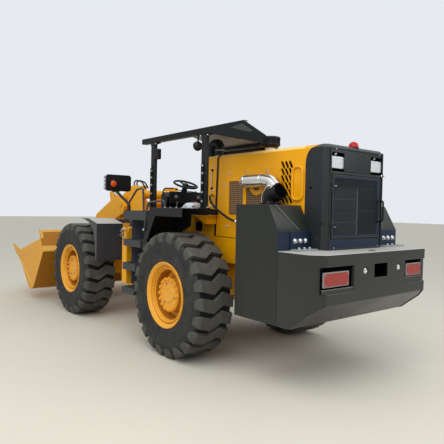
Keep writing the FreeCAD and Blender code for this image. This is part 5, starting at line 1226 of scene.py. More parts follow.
@dataclass
class GrilleDoor:
    """Hinged rear door: double rolled frame, expanded mesh and the guard bars behind it."""

    plate_x: float = -1612.0
    half: float = 371.0
    low_z: float = 1344.0
    high_z: float = 1921.0
    mesh_low: Pair = (-322.0, 1376.0)
    mesh_high: Pair = (340.0, 1890.0)
    mesh_pitch: float = 19.0
    hinge_z: tuple[float, float] = (1450.0, 1815.0)
    handle_y: float = -346.0
    handle_z: Pair = (1500.0, 1700.0)

    def strands(self, forge: Forge) -> None:
        """Adds the mesh's strands: two crossed sets at 56 degrees, cut off at the frame."""
        slope = 1.5
        (y0, z0), (y1, z1) = self.mesh_low, self.mesh_high
        x = self.plate_x + 7
        for lean in (slope, -slope):
            first = z0 - max(0.0, lean * (y1 - y0))
            last = z1 + max(0.0, -lean * (y1 - y0))
            count = int((last - first) / (self.mesh_pitch * 1.6))
            for k in range(count + 1):
                level = first + k * self.mesh_pitch * 1.6
                ends: list[Pair] = []
                for y in (y0, y1):
                    z = level + lean * (y - y0)
                    if z0 <= z <= z1:
                        ends.append((y, z))
                for z in (z0, z1):
                    y = y0 + (z - level) / lean
                    if y0 < y < y1:
                        ends.append((y, z))
                if len(ends) < 2 or math.dist(ends[0], ends[1]) < 8:
                    continue
                (ya, za), (yb, zb) = ends[0], ends[1]
                run = Vector((0, yb - ya, zb - za)).normalized()
                across = Vector((0, -run.z, run.y)) * 1.5
                depth = Vector((2.4 if lean > 0 else 4.6, 0, 0))
                base = [Vector((x, ya, za)), Vector((x, yb, zb))]
                points = [place(*(p + s * across + d)) for p in base for s, d in (
                    (1, Vector()), (-1, Vector()), (-1, depth), (1, depth))]
                forge.add(points, [(0, 1, 2, 3), (4, 5, 6, 7), (0, 1, 5, 4), (1, 2, 6, 5), (2, 3, 7, 6),
                                   (3, 0, 4, 7)])

    def build(self) -> None:
        """Makes the frame, mesh, bars, hinges and handle."""
        forge = Forge("grille_door_welded", COWL_GREY)
        x, h = self.plate_x, self.half
        forge.ring(rounded((-h, self.low_z), (h, self.high_z), 10), rounded((-h + 13, self.low_z + 13),
                   (h - 13, self.high_z - 13), 10), Plane.END, x, x + 20, 2.0)
        forge.use(NAVY).ring(
            rounded((-h + 12, self.low_z + 12), (h - 12, self.high_z - 12), 10),
            rounded(self.mesh_low, self.mesh_high, 12), Plane.END, x + 3, x + 18, 2.0)
        self.strands(forge.use(MESH_STEEL))
        forge.use(BARS_GREY)
        y0, y1 = self.mesh_low[0], self.mesh_high[0]
        forge.block((x + 12, -24, self.mesh_low[1]), (x + 18, -10, 1806), 1.0)
        for z, finish, left in ((1702, BARS_GREY, -17), (1490, BARS_GREY, -17), (1806, BLACK_COAT, y0),
                                (1600, BLACK_COAT, y0)):
            forge.use(finish).block((x + 12.5, left, z - 7), (x + 17.5, y1, z + 7), 1.0)
        # Black sheet behind the mesh: painted shade
        forge.use(SOOT_AND_SHADE).block((x + 17, y0 - 8, self.mesh_low[1] - 8), (x + 19.5, y1 + 8, self.mesh_high[1] + 8), 0)
        forge.use(CORE_GREY).block((x + 15.5, -10, self.mesh_low[1] + 4), (x + 17.2, y1 - 4, 1800), 0)
        # Pale strip down the vertical bar's front: painted highlight
        forge.use(PLATE_EDGE).block((x + 10, -23, self.mesh_low[1]), (x + 13, -13, 1800), 0)
        forge.use(BLACK_PLASTIC)
        axis_x, axis_y = x - 8.0, h + 17.0
        for z in self.hinge_z:
            forge.turned([(-20, 6.5), (-20, 12), (20, 12), (20, 6.5)], (axis_x, axis_y, z), (0, 0, 1), 24, 0, True)
            forge.block((axis_x - 9, h - 46, z - 20), (x + 1, axis_y - 10, z + 20), 2.0)
            forge.use(ZINC)
            for y in (h - 34, h - 12):
                forge.bolt((axis_x - 8, y, z), (-1, 0, 0), 9.0, 4.0, False)
            forge.use(BLACK_PLASTIC)
        low, high = self.handle_z
        reach = x - 55
        forge.pipe(((x + 2, self.handle_y, low), (reach, self.handle_y, low), (reach, self.handle_y, high),
                    (x + 2, self.handle_y, high)), 9.0, 26.0, 16)
        for z in self.handle_z:
            forge.turned([(-1, 0), (-1, 20), (5, 20), (9, 12), (9, 0)], (x + 1, self.handle_y, z), (-1, 0, 0), 24, 1.0)
        forge.block((x - 3, self.handle_y - 16, low - 24), (x + 2, self.handle_y + 16, high + 24), 4.0)
        forge.make("door", ("grille_door",))


@dataclass
class Tail:
    """Cast counterweight with its plates and studs, the wing boxes and their bolted brackets."""

    rear_x: float = -1886.0
    recess_x: float = -1861.0
    plates: tuple[tuple[float, float, float, float], ...] = (
        (458.0, 790.0, 976.0, 1098.0), (-700.0, -440.0, 988.0, 1104.0))
    studs: tuple[float, ...] = (234.0, -291.0)
    stud_z: float = 1080.0
    top_z: float = 1240.0
    bracket_y: Pair = (460.0, 716.0)
    bracket_x: float = -1447.0
    bolt_y: tuple[float, ...] = (523.0, 593.0, 662.0)
    right_back: float = 62.0
    right_y: Pair = (500.0, 850.0)
    right_bolts: tuple[float, ...] = (614.0, 695.0, 776.0)

    def weight(self) -> None:
        """Makes the casting, with painted highlight on its top and ledges and painted shade in its pocket, recesses and
        holes, and its blank plates and studs.
        """
        forge = Forge("counterweight_cast", CAST_GREY).node("counterweight", 7.0, 3)
        # Pale grey on the top faces: painted highlight
        forge.paint(HIGHLIGHT_TOP_GREY, (self.rear_x, -870, self.top_z - 6), (-1400, 870, self.top_z + 1), Vector((0, 0, 1)))
        # Faces round the tow pocket painted black: painted shade
        forge.paint(SOOT_AND_SHADE, (self.rear_x + 2, -101, 1011), (self.rear_x + 400, 101, 1134))
        tools = Forge("tools", CAST_GREY)
        for y in self.studs:
            tools.turned([(-30, 0), (-30, 36), (10, 36), (10, 0)], (self.rear_x, y, self.stud_z), (-1, 0, 0), 32)
        forge.carve(tools)
        # Black sheets over the recesses' floors: painted shade
        for low, high in ((404, 812), (-716, -404)):
            forge.use(SOOT_AND_SHADE).prism(rounded((low, 925), (high, 1136), 4), Plane.END, self.recess_x - 3, self.recess_x + 3, 0)
        # Ledges under the recesses; the pale strip along each edge is a painted highlight
        for low, high, z in ((404, 806, 957), (-706, -404, 978)):
            forge.use(CAST_GREY).block((self.recess_x - 20, low, 924), (self.recess_x, high, z), 2.0)
            forge.use(CAST_PALE).block((self.recess_x - 21, low, z - 3), (self.recess_x - 1, high, z + 1), 1.0)
        for y0, y1, z0, z1 in self.plates:
            forge.use(PLATE_EDGE).prism(rounded((y0, z0), (y1, z1), 7), Plane.END, self.recess_x - 14, self.recess_x, 2.0)
            forge.use(RED_PLATE).prism(rounded((y0 + 8, z0 + 8), (y1 - 8, z1 - 8), 5), Plane.END,
                                       self.recess_x - 17, self.recess_x - 10, 1.0)
            forge.use(ZINC)
            for y in (y0 + 22, y1 - 22):
                for z in (z0 + 22, z1 - 22):
                    forge.bolt((self.recess_x - 16, y, z), (-1, 0, 0), 8.0, 4.0, False)
        # Black disc at the back of each stud's hole: painted shade
        for y in self.studs:
            stud = (self.rear_x + 30, y, self.stud_z)
            forge.use(SOOT_AND_SHADE).turned([(-1, 0), (-1, 36), (1, 36), (1, 0)], stud, (-1, 0, 0), 32)
            forge.use(CHROME).turned([(0, 0), (0, 26), (25, 26), (29, 22), (29, 12), (22, 12), (22, 0)], stud,
                                     (-1, 0, 0), 32, 0.8)
        # Black sheet on the low facet by the right wing: painted shade
        rim = ((-1883, -756), (-1778, -865), (-1588, -865), (-1588, -822), (-1796, -822), (-1883, -716))
        forge.use(SOOT_AND_SHADE).add([place(x, y, AXLE_Z + 163 - 0.78 * (x + 1886) + lift) for lift in (-2.0, 6.0)
                             for x, y in rim], [tuple(range(6)), tuple(range(6, 12))]
                            + [(i, (i + 1) % 6, (i + 1) % 6 + 6, i + 6) for i in range(6)])
        forge.use(BLACK_COAT).turned([(-3, 22), (-3, 34), (3, 32), (3, 22)], (self.rear_x + 101, 0, self.top_z),
                                     (0, 0, 1), 32, 0, True)
        forge.make("chassis", ("counterweight",))

    def wings(self) -> None:
        """Makes the wing boxes with the weld down their slanted face, and their brackets."""
        forge = Forge("wings_folded", WING_GREY).node("wing_boxes", 5.0, 2)
        back = self.right_back
        forge.prism([(-1430, self.top_z), (-1436 - back, self.top_z), (-1436 - back, 1408), (-1300 - back, 1648),
                     (-1310, 1648), (-1430, 1400)], Plane.SIDE, -456, -867, 4.0)
        for side in (1, -1):
            step = 0 if side > 0 else back
            forge.use(CAST_PALE).rod((-1322 - step, side * 790, 1641), (-1436 - step, side * 600, 1418), 4.0, 8)
        forge.make("chassis", ("wing_boxes",))
        forge = Forge("wing_brackets_bolted", NAVY)
        for side, (low, high), bolts in ((1, self.bracket_y, self.bolt_y), (-1, self.right_y, self.right_bolts)):
            x = self.bracket_x - (0 if side > 0 else back)
            y0, y1 = side * low, side * high
            forge.use(NAVY).block((x, y0, self.top_z), (x + 12, y1, 1408), 3.0)
            forge.block((x + 11, side * 722, self.top_z + 3), (x + 14, side * 862, 1408), 0)
            forge.use(PLATE_EDGE).block((x - 100, y0, self.top_z), (x, y1, self.top_z + 12), 3.0)
            for y in bolts:
                forge.use(CHROME).turned([(-1, 0), (-1, 25), (4, 25), (8, 20), (14, 19), (20, 15), (22, 0)],
                                         (x, side * y, 1322), (-1, 0, 0), 24, 0.6)
                forge.use(ZINC).bolt((x - 50, side * y, self.top_z + 12), (0, 0, 1), 24.0, 13.0)
        forge.make("chassis", ("wing_brackets",))

    def build(self) -> None:
        """Makes the casting, then the wings."""
        self.weight()
        self.wings()


@dataclass
class Canopy:
    """Open roof on four posts: strapped and bolted posts, pale underside, lamp and elbow."""

    side_y: float = 750.0
    under_z: float = 2385.0
    posts: tuple[tuple[float, float, tuple[float, ...]], ...] = (
        (845.0, 2071.0, (2040.0, 1957.0, 1864.0, 1760.0)),
        (-200.0, 2062.0, (2046.0, 1965.0, 1861.0, 1763.0, 1668.0)))
    foot_z: tuple[float, float] = (1545.0, 1590.0)

    def roof(self) -> None:
        """Makes the roof with its pale underside, a painted highlight on its cheek, brackets and lamp."""
        forge = Forge("canopy_roof_folded", ROOF_COAT).node("canopy_roof", 2.5)
        forge.paint(UNDERSIDE, (-1200, -500, 2100), (1200, 676, 2440), Vector((0, 0, -1)))
        y = self.side_y
        # Grey patch on the roof's cheek: painted highlight
        forge.use(CHEEK_HIGHLIGHT_GREY).prism([(-642, 2399), (-817, 2417), (-972, 2330), (-930, 2322)], Plane.SIDE,
                                    y - 2, y + 1.5, 0)
        forge.use(BLACK_COAT)
        for x, reach in ((845, 92), (-200, 78)):
            forge.block((x - reach, 690, self.under_z - 14), (x + reach, 748, self.under_z + 1), 2.0)
            for step in (-1, 1):
                forge.prism([(x + step * 46, self.under_z - 12), (x + step * (reach - 6), self.under_z - 12),
                             (x + step * 46, self.under_z - 62)], Plane.SIDE, 722, 730, 1.0)
            forge.use(ZINC)
            for step in (-60, 60):
                forge.bolt((x + step, 742, self.under_z - 14), (0, 0, -1), 17.0, 9.0, False)
            forge.use(BLACK_COAT)
        forge.rod((-31, 700, 2384), (-31, 700, 2322), 9.0, 12).use(BLACK_PLASTIC)
        forge.turned([(-34, 0), (-34, 26), (-22, 44), (-4, 52), (22, 52), (28, 48), (28, 0)], (-31, 700, 2274),
                     (1, 0, -0.18), 32, 1.0)
        forge.use(CLEAR_LENS).turned([(25, 0), (25, 46), (30, 44), (34, 20), (35, 0)], (-31, 700, 2274),
                                     (1, 0, -0.18), 32)
        forge.make("chassis", ("canopy_roof",))

    def uprights(self) -> None:
        """Makes the posts with the bolted straps down their outer flanges."""
        forge = Forge("canopy_posts_drawn", BLACK_COAT).node("canopy_posts", 6.0, 3)
        for (x, top, bolts), foot in zip(self.posts, self.foot_z):
            forge.use(BLACK_COAT).block((x - 5, 740, foot), (x + 5, 778, top), 2.0)
            forge.prism([(x - 5, top - 2), (x + 5, top - 2), (x + 5, top + 40), (x - 5, top + 40)], Plane.SIDE,
                        740, 752, 1.0)
            for z in bolts:
                forge.use(ZINC).bolt((x - 5, 763, z), (-1, 0, 0), 15.0, 8.0)
            forge.use(ZINC)
            for step in (-1, 1):
                forge.bolt((x + step * 58, 726, foot + 8), (0, 0, 1), 18.0, 10.0)
            forge.use(BLACK_COAT).block((x - 76, 700, foot), (x + 76, 754, foot + 9), 2.0)
        forge.use(BLACK_PLASTIC).block((720, 700, 2178), (806, 752, 2304), 9.0, 3)
        forge.make("chassis", ("canopy_posts",))

    def intake(self) -> None:
        """Adds the rubber elbow over the bonnet's front edge and the valance along the right beam."""
        forge = Forge("intake_elbow_moulded", BLACK_PLASTIC)
        forge.pipe(((40, 330, 2186), (40, 330, 2352), (196, 330, 2352), (196, 330, 2170)), 50.0, 72.0, 28)
        forge.use(PLATE_EDGE)
        for z in (2200, 2262):
            forge.turned([(-7, 50), (-7, 55), (7, 55), (7, 50)], (40, 330, z), (0, 0, 1), 32, 0, True)
        forge.use(BLACK_COAT).block((-120, -450, 2322), (1050, -446, 2392), 1.0)
        forge.make("chassis")

    def build(self) -> None:
        """Makes the roof, the posts and the intake."""
        self.roof()
        self.uprights()
        self.intake()


@dataclass
class DrivingPlace:
    """Open driving place: seat under film, console, wheel, levers, pedals and floor mat."""

    seat_at: Point = (400.0, 60.0, 1440.0)
    wheel_at: Point = (1030.0, 120.0, 1905.0)
    wheel_lean: Point = (-0.34, 0.0, 0.94)
    wheel_r: float = 158.0

    def pad(self, name: str, low: Point, high: Point, crown: float, lean: float = 0.0) -> None:
        """Makes one crowned cushion under crumpled film.

        Args:
            name: The piece's name.
            low: Its lowest corner, as a station.
            high: Its highest corner.
            crown: How far its top or front swells, in millimetres.
            lean: How far its upper end is moved back.
        """
        part = bmesh.new()
        bmesh.ops.create_cube(part, size=2.0)
        bmesh.ops.subdivide_edges(part, edges=part.edges[:], cuts=15, use_grid_fill=True)
        half = [(high[i] - low[i]) / 2 for i in range(3)]
        middle = [(high[i] + low[i]) / 2 for i in range(3)]
        for vert in part.verts:
            u = Vector(vert.co)
            length = (abs(u.x) ** 6 + abs(u.y) ** 6 + abs(u.z) ** 6) ** (1 / 6)
            u /= length
            swell = (1 - u.x * u.x) * (1 - u.y * u.y)
            pull = 1 - 0.05 * (u.x * u.x + u.y * u.y)
            x = middle[0] + u.x * half[0] * pull - lean * (u.z + 1) / 2
            y = middle[1] + u.y * half[1] * pull
            z = middle[2] + u.z * half[2] + (crown * swell if u.z > 0 else 0.0)
            wave = noise.noise(Vector((x, y, z)) / 62.0) * 9.0 + noise.noise(Vector((x, y, z)) / 24.0) * 4.5
            side = Vector((u.x / half[0], u.y / half[1], u.z / half[2])).normalized()
            free = 1.0 if z > low[2] + 12 else 0.0
            vert.co = place(*(Vector((x, y, z)) + side * wave * free))
        mesh = bpy.data.meshes.new(name)
        part.to_mesh(mesh)
        part.free()
        mesh.materials.append(Shop.material(FILM))
        mesh.shade_smooth()
        piece = bpy.data.objects.new(name, mesh)
        bpy.context.scene.collection.objects.link(piece)
        smooth = piece.modifiers.new("film_folds", "SUBSURF")
        smooth.levels = smooth.render_levels = 1
        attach(piece, "chassis")
        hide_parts("seat")
        LOG.info("%s: film over foam on chassis", name)

    def seat(self) -> None:
        """Makes the seat's cushions on their pan and slides."""
        x, y, z = self.seat_at
        self.pad("seat_cushion_filmed", (x - 195, y - 235, z + 74), (x + 215, y + 235, z + 200), 22.0)
        self.pad("seat_back_filmed", (x - 205, y - 205, z + 190), (x - 95, y + 205, z + 372), 6.0, 45.0)
        self.pad("seat_film_gathered", (x - 60, y + 238, z + 74), (x + 170, y + 452, z + 190), 34.0)
        forge = Forge("seat_pan_pressed", BLACK_COAT)
        forge.block((x - 190, y - 225, z + 52), (x + 190, y + 225, z + 84), 8.0)
        for side in (-150, 150):
            forge.block((x - 180, y + side - 22, z + 18), (x + 180, y + side + 22, z + 54), 3.0)
        forge.block((x - 200, y - 190, z), (x + 200, y + 190, z + 20), 3.0)
        forge.use(BLACK_PLASTIC).rod((x + 150, y + 236, z + 60), (x + 240, y + 236, z + 72), 9.0)
        forge.make("chassis", ("seat",))

    def wheel(self) -> None:
        """Makes the steering wheel on its column, with the levers below it."""
        forge = Forge("steering_wheel_moulded", BLACK_PLASTIC)
        x, y, z = self.wheel_at
        axis = Vector(self.wheel_lean).normalized()
        side = Vector((0, 1, 0))
        ahead = side.cross(axis)
        middle = Vector((x, y, z))
        steps = 56
        ring = [middle + (ahead * math.cos(2 * math.pi * i / steps) + side * math.sin(2 * math.pi * i / steps))
                * self.wheel_r for i in range(steps + 2)]
        forge.sweep(ring, [14.0] * len(ring), 14)
        forge.turned([(-46, 0), (-46, 30), (-14, 40), (6, 42), (14, 34), (17, 0)], self.wheel_at, tuple(axis), 32)
        for degrees in (0, 125, 235):
            a = math.radians(degrees)
            out = ahead * math.cos(a) + side * math.sin(a)
            forge.sweep([middle + out * 30 - axis * 14, middle + out * 90 - axis * 8, middle + out * self.wheel_r],
                        [15.0, 12.0, 11.0], 12)
        foot = middle - axis * 250
        forge.sweep([middle - axis * 40, middle - axis * 90, foot], [32.0, 40.0, 46.0], 24)
        forge.use(STEEL)
        for reach, lift, sway in ((150, 16, 60), (165, -10, -50)):
            base = middle - axis * 92
            forge.pipe((tuple(base), tuple(base + side * sway * 0.8), tuple(base + side * math.copysign(reach, sway)
                        + Vector((-34, 0, lift)))), 6.0, 30.0, 10)
            knob = base + side * math.copysign(reach, sway) + Vector((-34, 0, lift))
            forge.use(BLACK_PLASTIC).turned([(-16, 0), (-16, 8), (0, 13), (16, 8), (16, 0)], tuple(knob), (0, 1, 0), 16)
            forge.use(STEEL)
        forge.make("chassis", ("steering_wheel",))

    def controls(self) -> None:
        """Makes the console with its dials, the hydraulic levers, pedals and the grab pipe."""
        forge = Forge("dash_moulded", BLACK_PLASTIC).node("dash", 10.0, 3)
        forge.block((990, -300, 1640), (1026, 390, 1806), 14.0, 3)
        for y in (-180, -60, 300):
            forge.use(GREY).turned([(-1, 0), (-1, 38), (5, 38), (7, 33), (7, 0)], (990, y, 1738), (-1, 0, 0), 28)
            forge.use(PLATE_EDGE).turned([(5, 0), (5, 22), (8, 22), (8, 0)], (990, y, 1738), (-1, 0, 0), 28)
        for y in (-260, -220, -10, 30):
            forge.use(RED_LENS if y == 30 else AMBER_LENS).turned(
                [(-1, 0), (-1, 9), (5, 8), (8, 3), (8, 0)], (990, y, 1680), (-1, 0, 0), 14)
        for y, z in ((-250, 1660), (-190, 1668), (350, 1650)):
            forge.use(STEEL).pipe(((905, y, 1442), (900, y, z - 70), (870, y, z + 40)), 8.0, 60.0, 12)
            forge.use(BLACK_PLASTIC).turned([(-24, 0), (-24, 12), (-4, 21), (18, 22), (28, 13), (30, 0)],
                                            (866, y, z + 52), (-0.2, 0, 1), 20)
        for y in (40, 210):
            forge.use(BLACK_COAT).block((905, y - 32, 1470), (918, y + 32, 1560), 3.0)
            forge.rod((915, y, 1510), (1000, y, 1560), 7.0, 12)
        forge.use(RAIL_GREY).pipe(((1000, 508, 1540), (1000, 495, 1800), (1000, 470, 1842), (1000, 327, 1846)),
                                  9.0, 45.0, 14)
        forge.make("chassis", ("dash",))
        forge = Forge("floor_mat_ribbed", BLACK_PLASTIC)
        forge.block((620, -440, 1439), (990, 440, 1446), 2.0)
        for k in range(17):
            x = 636 + 21.5 * k
            forge.block((x, -432, 1445), (x + 9, 432, 1449), 0)
        forge.make("chassis")

    def build(self) -> None:
        """Makes the seat, the wheel and the controls."""
        self.seat()
        self.wheel()
        self.controls()


@dataclass
class Flanks:
    """Both sides of the driving place: rails, lamps, box treads, tanks and rear fenders."""

    hanger_x: float = 1028.0
    treads: tuple[tuple[float, float, float, float], ...] = (
        (590.0, 1000.0, 1120.0, 1200.0), (700.0, 1010.0, 830.0, 915.0), (720.0, 1020.0, 545.0, 620.0))
    rear_bow: tuple[Point, ...] = ((478.0, 1062.0, 1322.0), (463.0, 1046.0, 1560.0), (444.0, 1024.0, 1648.0),
                                   (150.0, 1008.0, 1668.0), (139.0, 1000.0, 1588.0))
    front_bow: tuple[Point, ...] = ((985.0, 985.0, 1545.0), (985.0, 985.0, 1648.0), (835.0, 965.0, 1800.0),
                                    (716.0, 950.0, 1822.0), (690.0, 950.0, 1545.0))
    lamp_low: Point = (1200.0, 845.0, 1785.0)
    lamp_high: Point = (1290.0, 1190.0, 1990.0)

    def rails(self, side: int) -> None:
        """Adds the two bows of one side with their welded feet."""
        forge = Forge("handrails_bent_" + ("left" if side > 0 else "right"), RAIL_GREY)
        for bow in (self.rear_bow, self.front_bow):
            forge.pipe([(x, side * y, z) for x, y, z in bow], 12.0, 42.0, 16)
        for x, y, z in (self.front_bow[0], self.front_bow[-1], self.rear_bow[-1]):
            forge.use(BLACK_COAT).turned([(-2, 0), (-2, 24), (6, 24), (8, 20), (8, 0)], (x, side * y, z), (0, 0, 1),
                                         20, 0.6)
        x, y, z = self.rear_bow[0]
        forge.use(ZINC).bolt((x, side * (y + 10), z + 14), (0, side, 0), 15.0, 8.0)
        forge.make("chassis", ("handrails",))

    def lamps(self, side: int) -> None:
        """Adds the head lamp and indicator box on its arm."""
        (x0, y0, z0), (x1, y1, z1) = self.lamp_low, self.lamp_high
        forge = Forge("lamp_unit_" + ("left" if side > 0 else "right"), BLACK_PLASTIC)
        outline = [(y * side, z) for y, z in rounded((y0, z0), (y1 - 6, z1), 34, 6)]
        forge.prism(outline, Plane.END, x0, x0 + 46, 7.0, 3)
        forge.prism([(y * side, z) for y, z in rounded((y0 + 6, z0 + 6), (y1 - 12, z1 - 6), 30, 6)], Plane.END,
                    x0 + 44, x0 + 52, 1.0)
        forge.use(STAINLESS)
        step = (z1 - z0 - 20) / 4
        for k in range(4):
            z = z0 + 10 + k * step
            forge.block((x0 + 40, side * (y1 - 30), z + 3), (x1 - 8, side * (y1 - 2), z + step - 3), 7.0, 3)
        forge.use(CLEAR_LENS).block((x0 + 50, side * (y0 + 10), z0 + 10), (x1 - 2, side * (y1 - 26), z1 - 10), 12.0, 4)
        forge.use(BLACK_PLASTIC).turned([(-2, 0), (-2, 58), (8, 58), (12, 52), (12, 44), (4, 43), (4, 0)],
                                        (x0, side * 1084, 1877), (-1, 0, 0), 36)
        forge.use(AMBER_LENS).turned([(3, 0), (3, 41), (14, 40), (22, 30), (26, 14), (27, 0)],
                                     (x0, side * 1096, 1874), (-1, 0, 0), 36)
        forge.use(BLACK_COAT)
        line = [(985, side * 985, 1546), (985, side * 985, 1622), (1236, side * 1042, 1792)]
        forge.pipe(line, 17.0, 60.0, 16)
        forge.block((1214, side * 1000, 1774), (1262, side * 1084, 1792), 3.0)
        forge.use(ZINC).bolt((1222, side * 1042, 1774), (0, 0, -1), 18.0, 9.0)
        forge.make("chassis", ("lamp_units",))

    def step_boxes(self) -> None:
        """Makes the platform, hanger and treads, hollowed from above like folded boxes."""
        forge = Forge("side_steps_folded", STEP_GREY).node("side_steps", 0.0)
        tools = Forge("tools", STEP_GREY)
        for side in (1, -1):
            for x0, x1, z0, z1 in self.treads:
                tools.block((x0 + 6, side * 766, z0 + 16), (x1 - 6, side * 1044, z1 + 20), 0)
        forge.carve(tools)
        for side in (1, -1):
            for x0, x1, z0, z1 in self.treads:
                # Black floor in each tread's hollow: painted shade
                forge.use(SOOT_AND_SHADE).block((x0 + 7, side * 768, z0 + 14), (x1 - 7, side * 1043, z0 + 18), 0)
                forge.use(STEP_GREY)
                for k in range(5):
                    y = side * (800 + 50 * k)
                    forge.block((x0 + 5, y - 3, z1 - 22), (x1 - 5, y + 3, z1 - 2), 0)
            # Hanger plate in its paler grey: painted light
            forge.use(LIT_HANGER_GREY).prism([(side * 742, 640), (side * 742, 1441), (side * 918, 1441), (side * 918, 1320),
                                          (side * 918, 1210), (side * 918, 640)], Plane.END, self.hanger_x,
                                         self.hanger_x + 11, 1.5)
            forge.use(ZINC)
            for y, z in ((810, 700), (810, 990)):
                forge.bolt((self.hanger_x, side * y, z), (-1, 0, 0), 18.0, 10.0)
            forge.use(RIB_BLACK)
            for k in range(9):
                x = 476 + 62 * k
                forge.block((x, side * 566, 1544), (x + 30, side * 1030, 1548), 1.0)
        forge.make("chassis", ("side_steps",))

    def tanks(self) -> None:
        """Makes the tanks with a bolted cover, fittings and a sight tube on their outer side."""
        forge = Forge("side_tanks_welded", YELLOW).node("side_tanks", 14.0, 4)
        for side in (1, -1):
            forge.use(YELLOW).prism([(side * 890, 640), (side * 984, 640), (side * 984, 1262), (side * 950, 1330),
                                     (side * 890, 1330)], Plane.END, 1044, 1160, 8.0, 3)
            y = side * 984
            cover = [(1054, 1196), (1138, 1196), (1158, 1222), (1158, 1312), (1130, 1336), (1062, 1336), (1048, 1316),
                     (1048, 1212)]
            forge.use(YELLOW).prism(cover, Plane.SIDE, y - side * 2, y + side * 9, 2.0)
            forge.use(ZINC)
            for x, z in ((1068, 1310), (1136, 1310), (1068, 1218), (1136, 1218)):
                forge.bolt((x, y + side * 9, z), (0, side, 0), 16.0, 9.0)
            forge.use(STEEL)
            for x, z in ((1110, 1246), (1106, 1290)):
                forge.turned([(-1, 0), (-1, 19), (22, 17), (26, 12), (46, 12), (46, 0)], (x, y + side * 8, z),
                             (0, side, 0), 20, 0.8)
            forge.use(BLACK_COAT).pipe(((1150, side * 868, 1330), (1150, side * 868, 1400), (1212, side * 850, 1420),
                                        (1240, side * 800, 1330), (1240, side * 700, 1180)), 11.0, 60.0, 12)
            forge.pipe(((1120, y + side * 44, 1246), (1150, y + side * 50, 1200), (1196, side * 900, 1160),
                        (1200, side * 780, 1080)), 10.0, 40.0, 12)
            forge.use(STEEL).turned([(-1, 0), (-1, 36), (14, 36), (20, 30), (20, 0)], (1105, side * 770, 1340),
                                    (0, 0, 1), 28, 1.5)
        forge.make("chassis", ("side_tanks",))

    def fenders(self) -> None:
        """Makes the fenders with their folded lip and the brackets under their rear end."""
        forge = Forge("rear_fenders_folded", FENDER_GREY).node("rear_fenders", 2.5)
        forge.trim_behind(-250.0)
        for side in (1, -1):
            forge.use(YELLOW)
            forge.block((-118, side * 452, 1509), (152, side * 640, 1516), 1.5)
            forge.prism([(151, 1510), (-114, 1510), (-96, 1478), (-69, 1424), (-30, 1424), (60, 1478)], Plane.SIDE,
                        side * 596, side * 604, 1.0)
            forge.block((-69, side * 452, 1419), (-61, side * 600, 1512), 1.0)
            forge.use(ZINC)
            for x in (-90, -20, 60, 130):
                forge.bolt((x, side * 560, 1516), (0, 0, 1), 15.0, 8.0)
            # Black patch inside the yellow ring: painted shade for the opening
            forge.use(SOOT_AND_SHADE).prism(rounded((184, 1318), (326, 1440), 44, 6), Plane.SIDE, side * 444, side * 452.5, 0)
            forge.use(YELLOW).ring(rounded((176, 1310), (334, 1448), 52, 6), rounded((186, 1320), (324, 1438), 44, 6),
                                   Plane.SIDE, side * 448, side * 456, 1.0)
            forge.use(ZINC)
            for x in (-230, -120, -10, 100):
                forge.bolt((x, side * 1030, 1591), (0, 0, 1), 14.0, 7.0)
        forge.make("chassis", ("rear_fenders",))

    def build(self) -> None:
        """Makes both sides."""
        for side in (1, -1):
            self.rails(side)
            self.lamps(side)
        self.step_boxes()
        self.tanks()
        self.fenders()


@dataclass
class FrontGuards:
    """Guards over the front wheels: bent plate, curved skirt with a rolled edge, and stays."""

    top_z: float = 1417.0
    bend_z: float = 1355.0
    end_x: float = 2335.0
    inner_y: float = 642.0
    outer_y: float = 1030.0
    skirt: tuple[Pair, ...] = ((1842.0, 872.0), (1850.0, 1051.0), (1884.0, 1193.0), (1930.0, 1281.0),
                               (2030.0, 1362.0), (2232.0, 1411.0))

    def build(self) -> None:
        """Makes both guards."""
        forge = Forge("mudguards_bent", GUARD_GREY).node("mudguards", 0.0)
        tools = Forge("tools", GUARD_GREY)
        for side in (1, -1):
            tools.block((self.end_x, side * 690, self.top_z - 12), (2600, side * 1040, self.top_z + 10), 0)
        forge.carve(tools)
        for side in (1, -1):
            y0, y1 = side * self.inner_y, side * 706
            forge.use(GUARD_GREY).prism([(1800, 846), (1800, self.bend_z), (2070, self.top_z), (self.end_x, self.top_z),
                                         (self.end_x, self.top_z - 8), (2073, self.top_z - 8),
                                         (1808, self.bend_z - 4), (1808, 846)], Plane.SIDE, y0, y1, 1.0)
            forge.block((1800, side * 690, 846), (1808, side * self.outer_y, 878), 1.0)
            outline = [(1801, 846), (1801, self.bend_z), (2070, self.top_z - 1), (self.end_x, self.top_z - 1)]
            forge.prism(outline + list(self.skirt[::-1]), Plane.SIDE, side * 1023, side * 1030, 1.0)
            line = [Vector((x, side * 1024, z)) for x, z in self.skirt]
            # Rolled edge in pale grey: painted highlight
            forge.use(GUARD_EDGE).sweep(line, [7.0] * len(line), 12)
            forge.use(BLACK_COAT)
            for z in (1010, 1200):
                forge.block((1808, side * 660, z), (1816, side * 1010, z + 34), 1.5)
        # Top faces in pale grey: painted highlight
        forge.paint(HIGHLIGHT_TOP_GREY, (1790, -1040, self.bend_z), (2600, 1040, self.top_z + 5), Vector((0, 0, 1)))
        forge.make("front", ("mudguards",))


